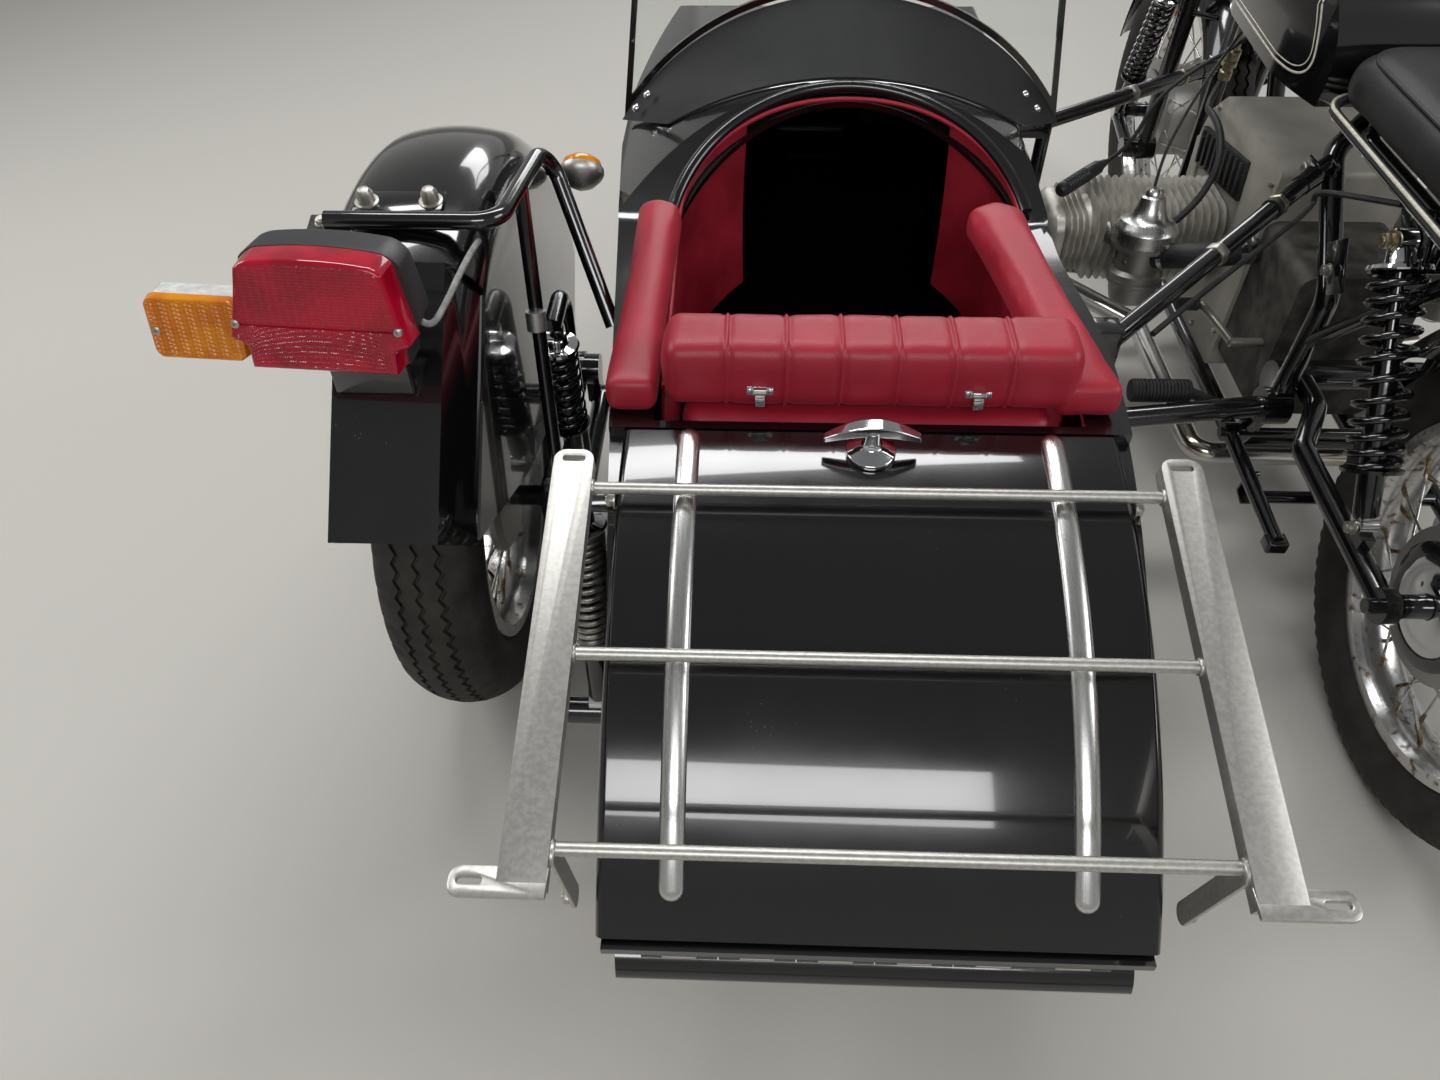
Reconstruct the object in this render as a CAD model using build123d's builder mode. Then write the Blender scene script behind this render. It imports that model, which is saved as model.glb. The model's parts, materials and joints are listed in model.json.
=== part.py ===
"""Sidecar motorcycle: a boxer-twin solo machine with a boat-shaped sidecar on its left, in millimetres.

+Y points forward, +X to the right, +Z up, and the origin is on the ground below the middle of the
whole machine. Places on the motorcycle are given from its middle plane and rear axle, places on the
sidecar's body from the body's middle plane, and places round the sidecar's wheel from its axle.
"""

import math
import os

from build123d import *

# Where the three wheels stand
BIKE_X = 556.75
REAR_AXLE_Y = -649.8
WHEELBASE = 1465.0
TRACK = 1325.0
WHEEL_LEAD = 200.0
BODY_OFFSET = 800.0
BODY_X = BIKE_X - BODY_OFFSET
SIDE_WHEEL_X = BIKE_X - TRACK

# Wheels: tyre outer radius, tyre width, rim flange radius, half width between the flanges
REAR_TYRE = (323.0, 108.0, 243.0, 30.0)
FRONT_TYRE = (318.0, 98.0, 243.0, 28.0)
SIDE_TYRE = (300.0, 135.0, 207.0, 50.0)
RIM_WALL = 4.0
RIM_DEPTH = 16.0
SPOKE_RADIUS = 2.2
RUN_CLEARANCE = 0.05
SEAT_GAP = 0.3

# Axles
AXLE_RADIUS = 10.0
STUB_RADIUS = 15.0

# Frame tubes
FRAME_TUBE_R = 16.0
SUBFRAME_TUBE_R = 11.0
CRADLE_HALF = 105.0
CRADLE_Z = 170.0
BACKBONE_R = 20.0
HEAD_TOP = (0.0, WHEELBASE - 275.0, 880.0)
HEAD_LOW = (0.0, WHEELBASE - 203.0, 735.0)
HEAD_RADIUS = 27.0
BACKBONE_FRONT = (0.0, WHEELBASE - 243.0, 815.0)
BACKBONE_REAR = (0.0, 630.0, 705.5)
DOWN_TUBE_TOP = (16.0, WHEELBASE - 225.0, 775.0)
DOWN_TUBE_FOOT = (CRADLE_HALF, 1040.0, CRADLE_Z)
STEM_R = 18.0
PIVOT = (0.0, 475.0, 330.0)
STAND_PIVOT = (0.0, 470.0, 215.0)
STAND_PIN_R = 8.0

# Engine
ENGINE_HALF = 105.0
ENGINE_LOW = CRADLE_Z + FRAME_TUBE_R + SEAT_GAP
ENGINE_TOP = 560.0
ENGINE_REAR = 690.0
ENGINE_FRONT = 1046.0
GEARBOX_REAR = 520.0
CYLINDER_Z = 365.0
CYLINDER_STAGGER = 20.0
CYLINDER_Y = 850.0
CYLINDER_TIP = 350.0
HEAD_TIP = 415.0
FIN_THICK = 2.5
FIN_PITCH = 13.5

# Sidecar body
WALL = 7.0
FLOOR_Z = 265.0
RAIL_Z = 598.0
BODY_TAIL = -462.0
TAIL_BULGE = -488.0
BOOT_FRONT = 2.0
HINGE = (-474.0, 330.0)
LID_HALF = 272.0
LID_THICK = 12.0
COCKPIT_REAR = 14.2
COCKPIT_FRONT = 620.0
COCKPIT_HALF = 240.0
SCUTTLE_REAR = 450.0
SEAT_Z = 312.0
CHASSIS_Z = 225.0
CHASSIS_R = 19.0
CHASSIS_HALF = 205.0

# Sidecar mudguard, measured from the sidecar's axle
GUARD_RADIUS = 475.0
GUARD_LEAD = 60.0
GUARD_HALF = 92.0
GUARD_SHEET = 3.0
GUARD_DROP = 62.0
GUARD_FRONT_ANGLE = 16.0
GUARD_REAR_ANGLE = 110.0
TAIL_HALF = 60.0
TAIL_END = (-326.0, 236.0)

# Boot lid, its hinge and the luggage rack
LID_GAP = 3.0
HINGE_PIN_R = 2.5
KNUCKLE_R = 6.0
STRIP_X = 198.0
RACK_BAR_X = 315.0
RACK_BAR_HALF = 21.0
RACK_ROD_R = 6.5
RACK_TOP = (-62.0, 611.0)
RACK_LOW = (-500.0, 509.0)


def bike(x, y, z):
    """Point given from the motorcycle's middle plane, its rear axle and the ground."""
    return (BIKE_X + x, REAR_AXLE_Y + y, z)


def car(x, y, z):
    """Point given from the sidecar body's middle plane, the rear axle and the ground."""
    return (BODY_X + x, REAR_AXLE_Y + y, z)


def guard(x, y, z):
    """Point given from the sidecar wheel's middle plane and its axle."""
    return (SIDE_WHEEL_X + x, REAR_AXLE_Y + WHEEL_LEAD + y, SIDE_TYRE[0] + z)


HEAD_AXIS = (Vector(HEAD_TOP) - Vector(HEAD_LOW)).normalized()


def along_head(start, run):
    """Point on the steering axis, a run beyond a point of it."""
    p = Vector(start) + HEAD_AXIS * run
    return (p.X, p.Y, p.Z)


BIKE_SIDE = Plane(origin=bike(0, 0, 0), x_dir=(0, 1, 0), z_dir=(1, 0, 0))
CAR_SIDE = Plane(origin=car(0, 0, 0), x_dir=(0, 1, 0), z_dir=(1, 0, 0))
CAR_FRONT = Plane(origin=car(0, 0, 0), x_dir=(1, 0, 0), z_dir=(0, -1, 0))
CAR_PLAN = Plane(origin=car(0, 0, 0), x_dir=(1, 0, 0), z_dir=(0, 0, 1))
GUARD_SIDE = Plane(origin=guard(0, 0, 0), x_dir=(0, 1, 0), z_dir=(1, 0, 0))


def radial_plane(centre):
    """Plane through an axle: local x runs along the axle, local y points up from it."""
    return Plane(origin=centre, x_dir=(1, 0, 0), z_dir=(0, -1, 0))


def tube(points, radius, bend=None, bore=0.0):
    """Round tube along straight runs joined by bends."""
    with BuildPart() as pipe:
        with BuildLine() as route:
            if bend is None:
                Polyline(*points)
            else:
                FilletPolyline(*points, radius=bend)
        with BuildSketch(Plane(origin=points[0], z_dir=route.line % 0)):
            Circle(radius)
            if bore:
                Circle(bore, mode=Mode.SUBTRACT)
        sweep(path=route.line, transition=Transition.RIGHT)
    return pipe.part


def across(centre, radius, length, bore=0.0):
    """Round piece whose axis runs across the machine, centred on a point."""
    with BuildPart() as roller:
        with BuildSketch(Plane(origin=centre, x_dir=(0, 1, 0), z_dir=(1, 0, 0))):
            Circle(radius)
            if bore:
                Circle(bore, mode=Mode.SUBTRACT)
        extrude(amount=length / 2, both=True)
    return roller.part


def block(low, high, rounding=0.0):
    """Upright block between two corners, with its edges rounded."""
    size = [high[i] - low[i] for i in range(3)]
    middle = [(high[i] + low[i]) / 2 for i in range(3)]
    with BuildPart(Plane(origin=middle)) as box:
        Box(*size)
        if rounding:
            fillet(box.edges(), rounding)
    return box.part


def turned(centre, outline):
    """Solid of revolution about an axle, its outline given as (along the axle, radius)."""
    with BuildPart() as part:
        with BuildSketch(radial_plane(centre)):
            with BuildLine():
                Polyline(*outline, close=True)
            make_face()
        revolve(axis=Axis(centre, (1, 0, 0)))
    return part.part


def tyre(centre, size):
    """Tyre seated between the rim's flanges."""
    outer, width, flange, bead = size
    bed = flange - RIM_DEPTH + SEAT_GAP
    side = bead - SEAT_GAP
    shoulder = outer - 0.16 * width
    bulge = (flange + shoulder) / 2
    with BuildPart() as part:
        with BuildSketch(radial_plane(centre)):
            with BuildLine():
                Line((-side, bed), (side, bed))
                Line((side, bed), (side, flange))
                ThreePointArc((side, flange), (width / 2, bulge), (0.43 * width, shoulder))
                ThreePointArc((0.43 * width, shoulder), (0, outer), (-0.43 * width, shoulder))
                ThreePointArc((-0.43 * width, shoulder), (-width / 2, bulge), (-side, flange))
                Line((-side, flange), (-side, bed))
            make_face()
        revolve(axis=Axis(centre, (1, 0, 0)))
    return part.part


def spoke(start, end):
    """Straight spoke between two points."""
    run = Vector(end) - Vector(start)
    with BuildPart() as rod:
        with BuildSketch(Plane(origin=start, z_dir=run)):
            RegularPolygon(SPOKE_RADIUS, 6)
        extrude(amount=run.length)
    return rod.part


def laced_wheel(centre, size, hub, bore, flange_x, flange_r, spokes):
    """Rim, hub and crossed spokes joined as one wheel."""
    outer, width, flange, bead = size
    bed = flange - RIM_DEPTH
    lip = bead + RIM_WALL
    rim = [
        (-lip, flange), (-bead, flange), (-bead, bed), (bead, bed), (bead, flange), (lip, flange),
        (lip, bed - 2), (0.6 * bead, bed - RIM_WALL - 8), (-0.6 * bead, bed - RIM_WALL - 8),
        (-lip, bed - 2),
    ]
    rods = []
    for i in range(spokes):
        side = 1 if i % 2 else -1
        cross = math.radians(18 if i % 4 < 2 else -18)
        at_rim = 2 * math.pi * i / spokes
        at_hub = at_rim + cross
        start = (
            centre[0] + side * flange_x,
            centre[1] + (flange_r - 3) * math.cos(at_hub),
            centre[2] + (flange_r - 3) * math.sin(at_hub),
        )
        end = (
            centre[0] + side * 0.2 * bead,
            centre[1] + (bed - 3) * math.cos(at_rim),
            centre[2] + (bed - 3) * math.sin(at_rim),
        )
        rods.append(spoke(start, end))
    with BuildPart() as wheel:
        add(turned(centre, rim))
        add(turned(centre, hub))
        add(rods)
        add(across(centre, bore, 400), mode=Mode.SUBTRACT)
    return wheel.part


os.makedirs("parts", exist_ok=True)


def keep(name, part):
    """Label a finished piece and write it."""
    part.label = name
    export_step(part, "parts/" + name + ".step")


# Wheels
REAR_AXLE = bike(0, 0, REAR_TYRE[0])
FRONT_AXLE = bike(0, WHEELBASE, FRONT_TYRE[0])
SIDE_AXLE = guard(0, 0, 0)

DRUM_HUB = [
    (-62, AXLE_RADIUS), (62, AXLE_RADIUS), (62, 88), (54, 104), (40, 104), (36, 96),
    (-36, 96), (-40, 104), (-54, 104), (-62, 88),
]
SIDE_HUB = [
    (-48, STUB_RADIUS), (48, STUB_RADIUS), (48, 74), (42, 82), (30, 82), (26, 60),
    (-26, 60), (-30, 76), (-38, 76), (-42, 46), (-48, 40),
]

with BuildPart() as rear_tyre:
    add(tyre(REAR_AXLE, REAR_TYRE))
keep("rear_tyre", rear_tyre.part)

with BuildPart() as rear_wheel:
    add(laced_wheel(REAR_AXLE, REAR_TYRE, DRUM_HUB, AXLE_RADIUS + RUN_CLEARANCE, 46, 104, 40))
keep("rear_wheel", rear_wheel.part)

with BuildPart() as front_tyre:
    add(tyre(FRONT_AXLE, FRONT_TYRE))
keep("front_tyre", front_tyre.part)

with BuildPart() as front_wheel:
    add(laced_wheel(FRONT_AXLE, FRONT_TYRE, DRUM_HUB, AXLE_RADIUS + RUN_CLEARANCE, 46, 104, 40))
keep("front_wheel", front_wheel.part)

with BuildPart() as sidecar_tyre:
    add(tyre(SIDE_AXLE, SIDE_TYRE))
keep("sidecar_tyre", sidecar_tyre.part)

with BuildPart() as sidecar_wheel:
    add(laced_wheel(SIDE_AXLE, SIDE_TYRE, SIDE_HUB, STUB_RADIUS + RUN_CLEARANCE, 34, 76, 40))
keep("sidecar_wheel", sidecar_wheel.part)


# Sidecar body
BODY_WIDE = 344.0
TAIL_WIDE = 254.0
CREST = [(BODY_TAIL, 345.0), (-260.0, 508.0), (BOOT_FRONT, RAIL_Z - 14.0)]


def hull(inset):
    """Boat-shaped volume: side view, plan and front view cut from one another, all inset alike."""
    with BuildPart() as volume:
        with BuildSketch(CAR_SIDE):
            with BuildLine():
                ThreePointArc(*CREST)
                Line((BOOT_FRONT, RAIL_Z - 14), (BOOT_FRONT, RAIL_Z))
                Line((BOOT_FRONT, RAIL_Z), (SCUTTLE_REAR, RAIL_Z))
                ThreePointArc((SCUTTLE_REAR, RAIL_Z), (560, 656), (640, 712))
                ThreePointArc((640, 712), (1160, 640), (1520, 420))
                ThreePointArc((1520, 420), (1500, 330), (1400, FLOOR_Z))
                Line((1400, FLOOR_Z), (-440, FLOOR_Z))
                ThreePointArc((-440, FLOOR_Z), (-476, 275), (TAIL_BULGE, 298))
                ThreePointArc((TAIL_BULGE, 298), (-478, 314), (BODY_TAIL, 322))
                Line((BODY_TAIL, 322), (BODY_TAIL, 345))
            make_face()
            if inset:
                offset(amount=-inset)
        extrude(amount=400, both=True)
        with BuildSketch(CAR_PLAN):
            with BuildLine():
                Line((-TAIL_WIDE, TAIL_BULGE), (TAIL_WIDE, TAIL_BULGE))
                ThreePointArc((TAIL_WIDE, TAIL_BULGE), (300, 150), (BODY_WIDE, 700))
                ThreePointArc((BODY_WIDE, 700), (248, 1240), (60, 1520))
                ThreePointArc((60, 1520), (0, 1545), (-60, 1520))
                ThreePointArc((-60, 1520), (-248, 1240), (-BODY_WIDE, 700))
                ThreePointArc((-BODY_WIDE, 700), (-300, 150), (-TAIL_WIDE, TAIL_BULGE))
            make_face()
            if inset:
                offset(amount=-inset)
        extrude(amount=900, mode=Mode.INTERSECT)
        with BuildSketch(CAR_FRONT):
            with BuildLine():
                Line((-225, FLOOR_Z), (225, FLOOR_Z))
                ThreePointArc((225, FLOOR_Z), (262, 288), (278, 345))
                Line((278, 345), (BODY_WIDE, RAIL_Z - 8))
                ThreePointArc((BODY_WIDE, RAIL_Z - 8), (0, 716), (-BODY_WIDE, RAIL_Z - 8))
                Line((-BODY_WIDE, RAIL_Z - 8), (-278, 345))
                ThreePointArc((-278, 345), (-262, 288), (-225, FLOOR_Z))
            make_face()
            if inset:
                offset(amount=-inset)
        extrude(amount=1700, both=True, mode=Mode.INTERSECT)
    return volume.part


def well(front, rear, half, low):
    """Upright D-shaped volume that opens the cockpit from above."""
    with BuildPart() as opening:
        with BuildSketch(CAR_PLAN.offset(low)):
            with BuildLine():
                Line((-half, rear), (half, rear))
                Line((half, rear), (half + 12, 380))
                ThreePointArc((half + 12, 380), (0, front), (-half - 12, 380))
                Line((-half - 12, 380), (-half, rear))
            make_face()
        extrude(amount=500)
    return opening.part


with BuildPart() as bulkhead:
    add(block(car(-300, COCKPIT_REAR - 6, FLOOR_Z + 1), car(300, COCKPIT_REAR - 0.2, RAIL_Z - 1)))
    add(hull(1), mode=Mode.INTERSECT)

with BuildPart() as sidecar_body:
    add(hull(0))
    add(hull(WALL), mode=Mode.SUBTRACT)
    add(well(COCKPIT_FRONT, COCKPIT_REAR, COCKPIT_HALF, RAIL_Z - 60), mode=Mode.SUBTRACT)
    add(block(car(-224, BODY_TAIL + 26, 340), car(224, BOOT_FRONT - 26, 700)), mode=Mode.SUBTRACT)
    add(bulkhead.part)
    add(block(car(-165, 80, FLOOR_Z + WALL - 1), car(165, 510, SEAT_Z - SEAT_GAP)))
keep("sidecar_body", sidecar_body.part)

with BuildPart() as cockpit_rim:
    with BuildLine() as rim_path:
        ThreePointArc(car(-246, 462, 612), car(0, 626, 716), car(246, 462, 612))
    with BuildSketch(Plane(origin=car(-246, 462, 612), z_dir=rim_path.line % 0)):
        Circle(9)
    sweep(path=rim_path.line)
    add(sidecar_body.part, mode=Mode.SUBTRACT)
keep("cockpit_rim", cockpit_rim.part)


def arch(y, half, foot, top, thick, drop=0.0):
    """Arched band standing across the body at a station, as a face."""
    with BuildSketch(Plane(origin=car(0, y, 0), x_dir=(1, 0, 0), z_dir=(0, -1, 0))) as band:
        with BuildLine():
            ThreePointArc((-half, foot), (0, top), (half, foot))
            Line((half, foot), (half + thick, foot - drop))
            ThreePointArc((half + thick, foot - drop), (0, top + thick), (-half - thick, foot - drop))
            Line((-half - thick, foot - drop), (-half, foot))
        make_face()
    return band.sketch


with BuildPart() as front_apron:
    add(arch(648, 262, 648.8, 716.4, 4))
    add(arch(770, 346, 600, 788, 4))
    loft(ruled=True)
    add(sidecar_body.part, mode=Mode.SUBTRACT)
    add(cockpit_rim.part, mode=Mode.SUBTRACT)
keep("front_apron", front_apron.part)

SCREEN_THICK = 4.0
SCREEN_REAR = 775.0


def screen_outline(inset):
    """Windscreen's front view: arched foot, leaning sides and a rounded top."""
    with BuildSketch(Plane(origin=car(0, 1000, 0), x_dir=(1, 0, 0), z_dir=(0, -1, 0))) as view:
        with BuildLine():
            ThreePointArc((-346, 602.3), (0, 796.3), (346, 602.3))
            Line((346, 602.3), (296, 980))
            ThreePointArc((296, 980), (0, 1085), (-296, 980))
            Line((-296, 980), (-346, 602.3))
        make_face()
        fillet(view.vertices().group_by(Axis.Y)[-1], 40)
        if inset:
            offset(amount=-inset)
    return view.sketch


def screen_sheet(thick):
    """Gently bent sheet that the windscreen is cut from."""
    with BuildPart() as sheet:
        with BuildSketch(CAR_SIDE):
            with BuildLine():
                for edge in (SCREEN_REAR - thick / 2, SCREEN_REAR + thick / 2):
                    Line((edge, 600), (edge, 790))
                    ThreePointArc((edge, 790), (edge - 18, 950), (edge - 66, 1100))
                Line((SCREEN_REAR - thick / 2, 600), (SCREEN_REAR + thick / 2, 600))
                Line((SCREEN_REAR - thick / 2 - 66, 1100), (SCREEN_REAR + thick / 2 - 66, 1100))
            make_face()
        extrude(amount=400, both=True)
    return sheet.part


with BuildPart() as windscreen:
    add(screen_outline(9.3))
    extrude(amount=600, dir=(0, -1, 0))
    add(screen_sheet(SCREEN_THICK), mode=Mode.INTERSECT)
keep("windscreen", windscreen.part)

with BuildPart() as windscreen_frame:
    add(screen_outline(0))
    extrude(amount=600, dir=(0, -1, 0))
    add(screen_outline(9))
    extrude(amount=600, dir=(0, -1, 0), mode=Mode.SUBTRACT)
    add(screen_sheet(SCREEN_THICK + 5), mode=Mode.INTERSECT)
    add(front_apron.part, mode=Mode.SUBTRACT)
    add(sidecar_body.part, mode=Mode.SUBTRACT)
keep("windscreen_frame", windscreen_frame.part)

# Upholstery
with BuildPart() as seat_cushion:
    add(block(car(-215, 70, SEAT_Z), car(215, 520, SEAT_Z + 90), 24))
keep("seat_cushion", seat_cushion.part)

with BuildPart() as seat_backrest:
    add(block(car(-222, COCKPIT_REAR + 0.1, SEAT_Z + 95), car(222, 80, RAIL_Z + 8.7), 22))
keep("seat_backrest", seat_backrest.part)

with BuildPart() as bolster:
    add(block(car(-232, 26, RAIL_Z + 9), car(232, 98, RAIL_Z + 92), 26))
keep("bolster", bolster.part)

with BuildPart() as armrests:
    with BuildSketch(CAR_PLAN.offset(RAIL_Z + SEAT_GAP)):
        for side in (-1, 1):
            with BuildLine():
                Polyline(
                    (side * 236, 24), (side * 297, 22), (side * 292, 430), (side * 264, 452),
                    (side * 228, 424), close=True,
                )
            make_face()
    extrude(amount=44)
    fillet(armrests.edges().filter_by(Axis.Z), 8)
    fillet(armrests.edges().group_by(Axis.Z)[-1], 7)
keep("armrests", armrests.part)


# Boot lid with its strips, handle and rack
def crest_circle():
    """Centre and radius of the arc that the boot's top follows in side view."""
    (ax, ay), (bx, by), (cx, cy) = CREST
    d = 2 * (ax * (by - cy) + bx * (cy - ay) + cx * (ay - by))
    a2, b2, c2 = ax * ax + ay * ay, bx * bx + by * by, cx * cx + cy * cy
    y = (a2 * (by - cy) + b2 * (cy - ay) + c2 * (ay - by)) / d
    z = (a2 * (cx - bx) + b2 * (ax - cx) + c2 * (bx - ax)) / d
    return y, z, math.hypot(ax - y, ay - z)


CREST_Y, CREST_Z, CREST_R = crest_circle()


def on_crest(y, lift):
    """Point above the boot's arc at a station, measured square to the arc's flank."""
    r = CREST_R + lift
    return (y, CREST_Z + math.sqrt(r * r - (y - CREST_Y) ** 2))


def crest_point(angle, lift):
    """Point on the boot's arc at an angle from the vertical, lifted off it."""
    r = CREST_R + lift
    return (CREST_Y - r * math.sin(math.radians(angle)), CREST_Z + r * math.cos(math.radians(angle)))


def crest_angle(y, z):
    """Angle from the vertical of a point as the arc's centre sees it."""
    return math.degrees(math.atan2(CREST_Y - y, z - CREST_Z))


LID_REAR_ANGLE = crest_angle(BODY_TAIL, 345.0)
LID_FRONT_ANGLE = crest_angle(BOOT_FRONT - 4.0, RAIL_Z - 14.0)


def curved_plate(half, low, high, rear, front, offset_x=0.0):
    """Plate that follows the boot's arc between two lifts and two angles."""
    middle = (rear + front) / 2
    with BuildPart() as plate:
        with BuildSketch(Plane(origin=car(offset_x, 0, 0), x_dir=(0, 1, 0), z_dir=(1, 0, 0))):
            with BuildLine():
                ThreePointArc(crest_point(rear, low), crest_point(middle, low), crest_point(front, low))
                Line(crest_point(front, low), crest_point(front, high))
                ThreePointArc(crest_point(front, high), crest_point(middle, high), crest_point(rear, high))
                Line(crest_point(rear, high), crest_point(rear, low))
            make_face()
        extrude(amount=half, both=True)
    return plate.part


KNUCKLES = 12
KNUCKLE_PITCH = 38.0


def knuckles(first):
    """Every second barrel of the piano hinge."""
    barrels = []
    for i in range(first, KNUCKLES, 2):
        x = (i - (KNUCKLES - 1) / 2) * KNUCKLE_PITCH
        barrels.append(across(car(x, *HINGE), KNUCKLE_R, KNUCKLE_PITCH - 1))
    return barrels


LID_TOP = LID_GAP + LID_THICK
LIP_LOW = HINGE[1] + KNUCKLE_R + 1.5

with BuildPart() as boot_lid:
    add(curved_plate(LID_HALF, LID_GAP, LID_TOP, LID_REAR_ANGLE, LID_FRONT_ANGLE))
    fillet(boot_lid.edges().filter_by(GeomType.CIRCLE).sort_by(SortBy.RADIUS)[-2:], 9)
    add(block(car(-LID_HALF + 6, HINGE[0] - 7, LIP_LOW), car(LID_HALF - 6, BODY_TAIL - 2, LIP_LOW + 10)))
    add(knuckles(0))
    for i in range(0, KNUCKLES, 2):
        x = (i - (KNUCKLES - 1) / 2) * KNUCKLE_PITCH
        half = (KNUCKLE_PITCH - 1) / 2
        add(block(car(x - half, HINGE[0] - 4, HINGE[1]), car(x + half, HINGE[0] + 4, LIP_LOW + 1)))
    add(across(car(0, *HINGE), HINGE_PIN_R + RUN_CLEARANCE, 600), mode=Mode.SUBTRACT)
keep("boot_lid", boot_lid.part)

with BuildPart() as boot_hinge:
    add(knuckles(1))
    add(across(car(0, *HINGE), HINGE_PIN_R, KNUCKLES * KNUCKLE_PITCH))
    for i in range(1, KNUCKLES, 2):
        x = (i - (KNUCKLES - 1) / 2) * KNUCKLE_PITCH
        half = (KNUCKLE_PITCH - 1) / 2
        add(block(car(x - half, HINGE[0] + 2, HINGE[1] - 6), car(x + half, BODY_TAIL + 3, HINGE[1] + 4)))
    add(sidecar_body.part, mode=Mode.SUBTRACT)
keep("boot_hinge", boot_hinge.part)

STRIP_FRONT_ANGLE = crest_angle(-22.0, RAIL_Z - 12.0)
STRIP_REAR_ANGLE = crest_angle(BODY_TAIL + 14.0, 362.0)

with BuildPart() as lid_strips:
    for x in (-STRIP_X, STRIP_X):
        add(curved_plate(12.5, LID_TOP + 0.2, LID_TOP + 7, STRIP_REAR_ANGLE, STRIP_FRONT_ANGLE, x))
    fillet(lid_strips.edges().filter_by(GeomType.CIRCLE).sort_by(SortBy.RADIUS)[-4:], 6)
keep("lid_strips", lid_strips.part)

HANDLE_Y = -30.0
HANDLE_FOOT = on_crest(HANDLE_Y, LID_TOP)[1]

with BuildPart() as boot_handle:
    with BuildSketch(Plane(origin=car(0, HANDLE_Y, 0), x_dir=(1, 0, 0), z_dir=(0, -1, 0))):
        with BuildLine():
            Polyline(
                (0, HANDLE_FOOT - 6), (27, HANDLE_FOOT - 6), (27, HANDLE_FOOT + 5), (20, HANDLE_FOOT + 10),
                (10, HANDLE_FOOT + 14), (8, HANDLE_FOOT + 34), (0, HANDLE_FOOT + 34), close=True,
            )
        make_face()
    revolve(axis=Axis(car(0, HANDLE_Y, 0), (0, 0, 1)))
    with BuildSketch(Plane(origin=car(0, HANDLE_Y, 0), x_dir=(1, 0, 0), z_dir=(0, -1, 0))):
        with BuildLine():
            ThreePointArc((-52, HANDLE_FOOT + 14), (0, HANDLE_FOOT + 46), (52, HANDLE_FOOT + 14))
            ThreePointArc((52, HANDLE_FOOT + 14), (0, HANDLE_FOOT + 30), (-52, HANDLE_FOOT + 14))
        make_face()
    extrude(amount=8, both=True)
    add(boot_lid.part, mode=Mode.SUBTRACT)
keep("boot_handle", boot_handle.part)

RACK_SLOPE = math.atan2(RACK_TOP[1] - RACK_LOW[1], RACK_TOP[0] - RACK_LOW[0])
RACK_LENGTH = math.hypot(RACK_TOP[1] - RACK_LOW[1], RACK_TOP[0] - RACK_LOW[0])
RACK_RODS = (0.09, 0.51, 0.92)


def rack_point(share, lift=0.0):
    """Point along the rack's side bar, from its top end, lifted square to it."""
    run = share * RACK_LENGTH
    y = RACK_TOP[0] - run * math.cos(RACK_SLOPE) - lift * math.sin(RACK_SLOPE)
    z = RACK_TOP[1] - run * math.sin(RACK_SLOPE) + lift * math.cos(RACK_SLOPE)
    return (y, z)


with BuildPart() as luggage_rack:
    for side in (-1, 1):
        bar = Plane(
            origin=car(side * RACK_BAR_X, *RACK_TOP),
            x_dir=(0, -math.cos(RACK_SLOPE), -math.sin(RACK_SLOPE)),
            z_dir=(0, -math.sin(RACK_SLOPE), math.cos(RACK_SLOPE)),
        )
        with BuildSketch(bar.offset(8)):
            with Locations((RACK_LENGTH / 2, 0)):
                RectangleRounded(RACK_LENGTH, 2 * RACK_BAR_HALF, 12)
            with Locations((12, 0)):
                SlotOverall(26, 7, rotation=90, mode=Mode.SUBTRACT)
        extrude(amount=3.5)
        with BuildSketch(bar.offset(-7)):
            flange_y = RACK_BAR_HALF - 1.75
            with Locations((RACK_LENGTH / 2, flange_y), (RACK_LENGTH / 2, -flange_y)):
                Rectangle(RACK_LENGTH - 50, 3.5)
        extrude(amount=16)
        foot_low = rack_point(1.0)
        outer = side * (RACK_BAR_X + 62)
        inner = side * (RACK_BAR_X - RACK_BAR_HALF)
        add(
            block(
                car(min(outer, inner), foot_low[0] - 12, foot_low[1] + 5),
                car(max(outer, inner), foot_low[0] + 16, foot_low[1] + 11),
            )
        )
    for share in RACK_RODS:
        y, z = rack_point(share)
        add(across(car(0, y, z), RACK_ROD_R, 2 * (RACK_BAR_X - RACK_BAR_HALF) + 4))
    for side in (-1, 1):
        x = side * (LID_HALF + (RACK_BAR_X - RACK_BAR_HALF - LID_HALF) / 2)
        y, z = on_crest(-95, LID_GAP + LID_THICK / 2)
        span = RACK_BAR_X - RACK_BAR_HALF - LID_HALF
        add(across(car(x, y, z), 5.5, span + 0.2))
        plate_x = side * (RACK_BAR_X - RACK_BAR_HALF - 2)
        add(block(car(plate_x - 2, y - 11, z - 10), car(plate_x + 2, y + 25, RACK_TOP[1] - 5)))
        y, z = crest_point(LID_REAR_ANGLE - 4, LID_GAP + LID_THICK / 2)
        add(across(car(x, y, z), 5.5, span + 0.2))
        low_y, low_z = rack_point(0.93)
        add(block(car(plate_x - 2, y - 12, z - 12), car(plate_x + 2, y + 14, low_z + 2)))
    add(boot_lid.part, mode=Mode.SUBTRACT)
keep("luggage_rack", luggage_rack.part)

# Sidecar chassis and wheel carrier
ARM_X = 96.0
ARM_THICK = 18.0
ARM_PIVOT = (330.0, -20.0)
CROSS_Y = (-300.0, 445.0, 1080.0)

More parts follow.
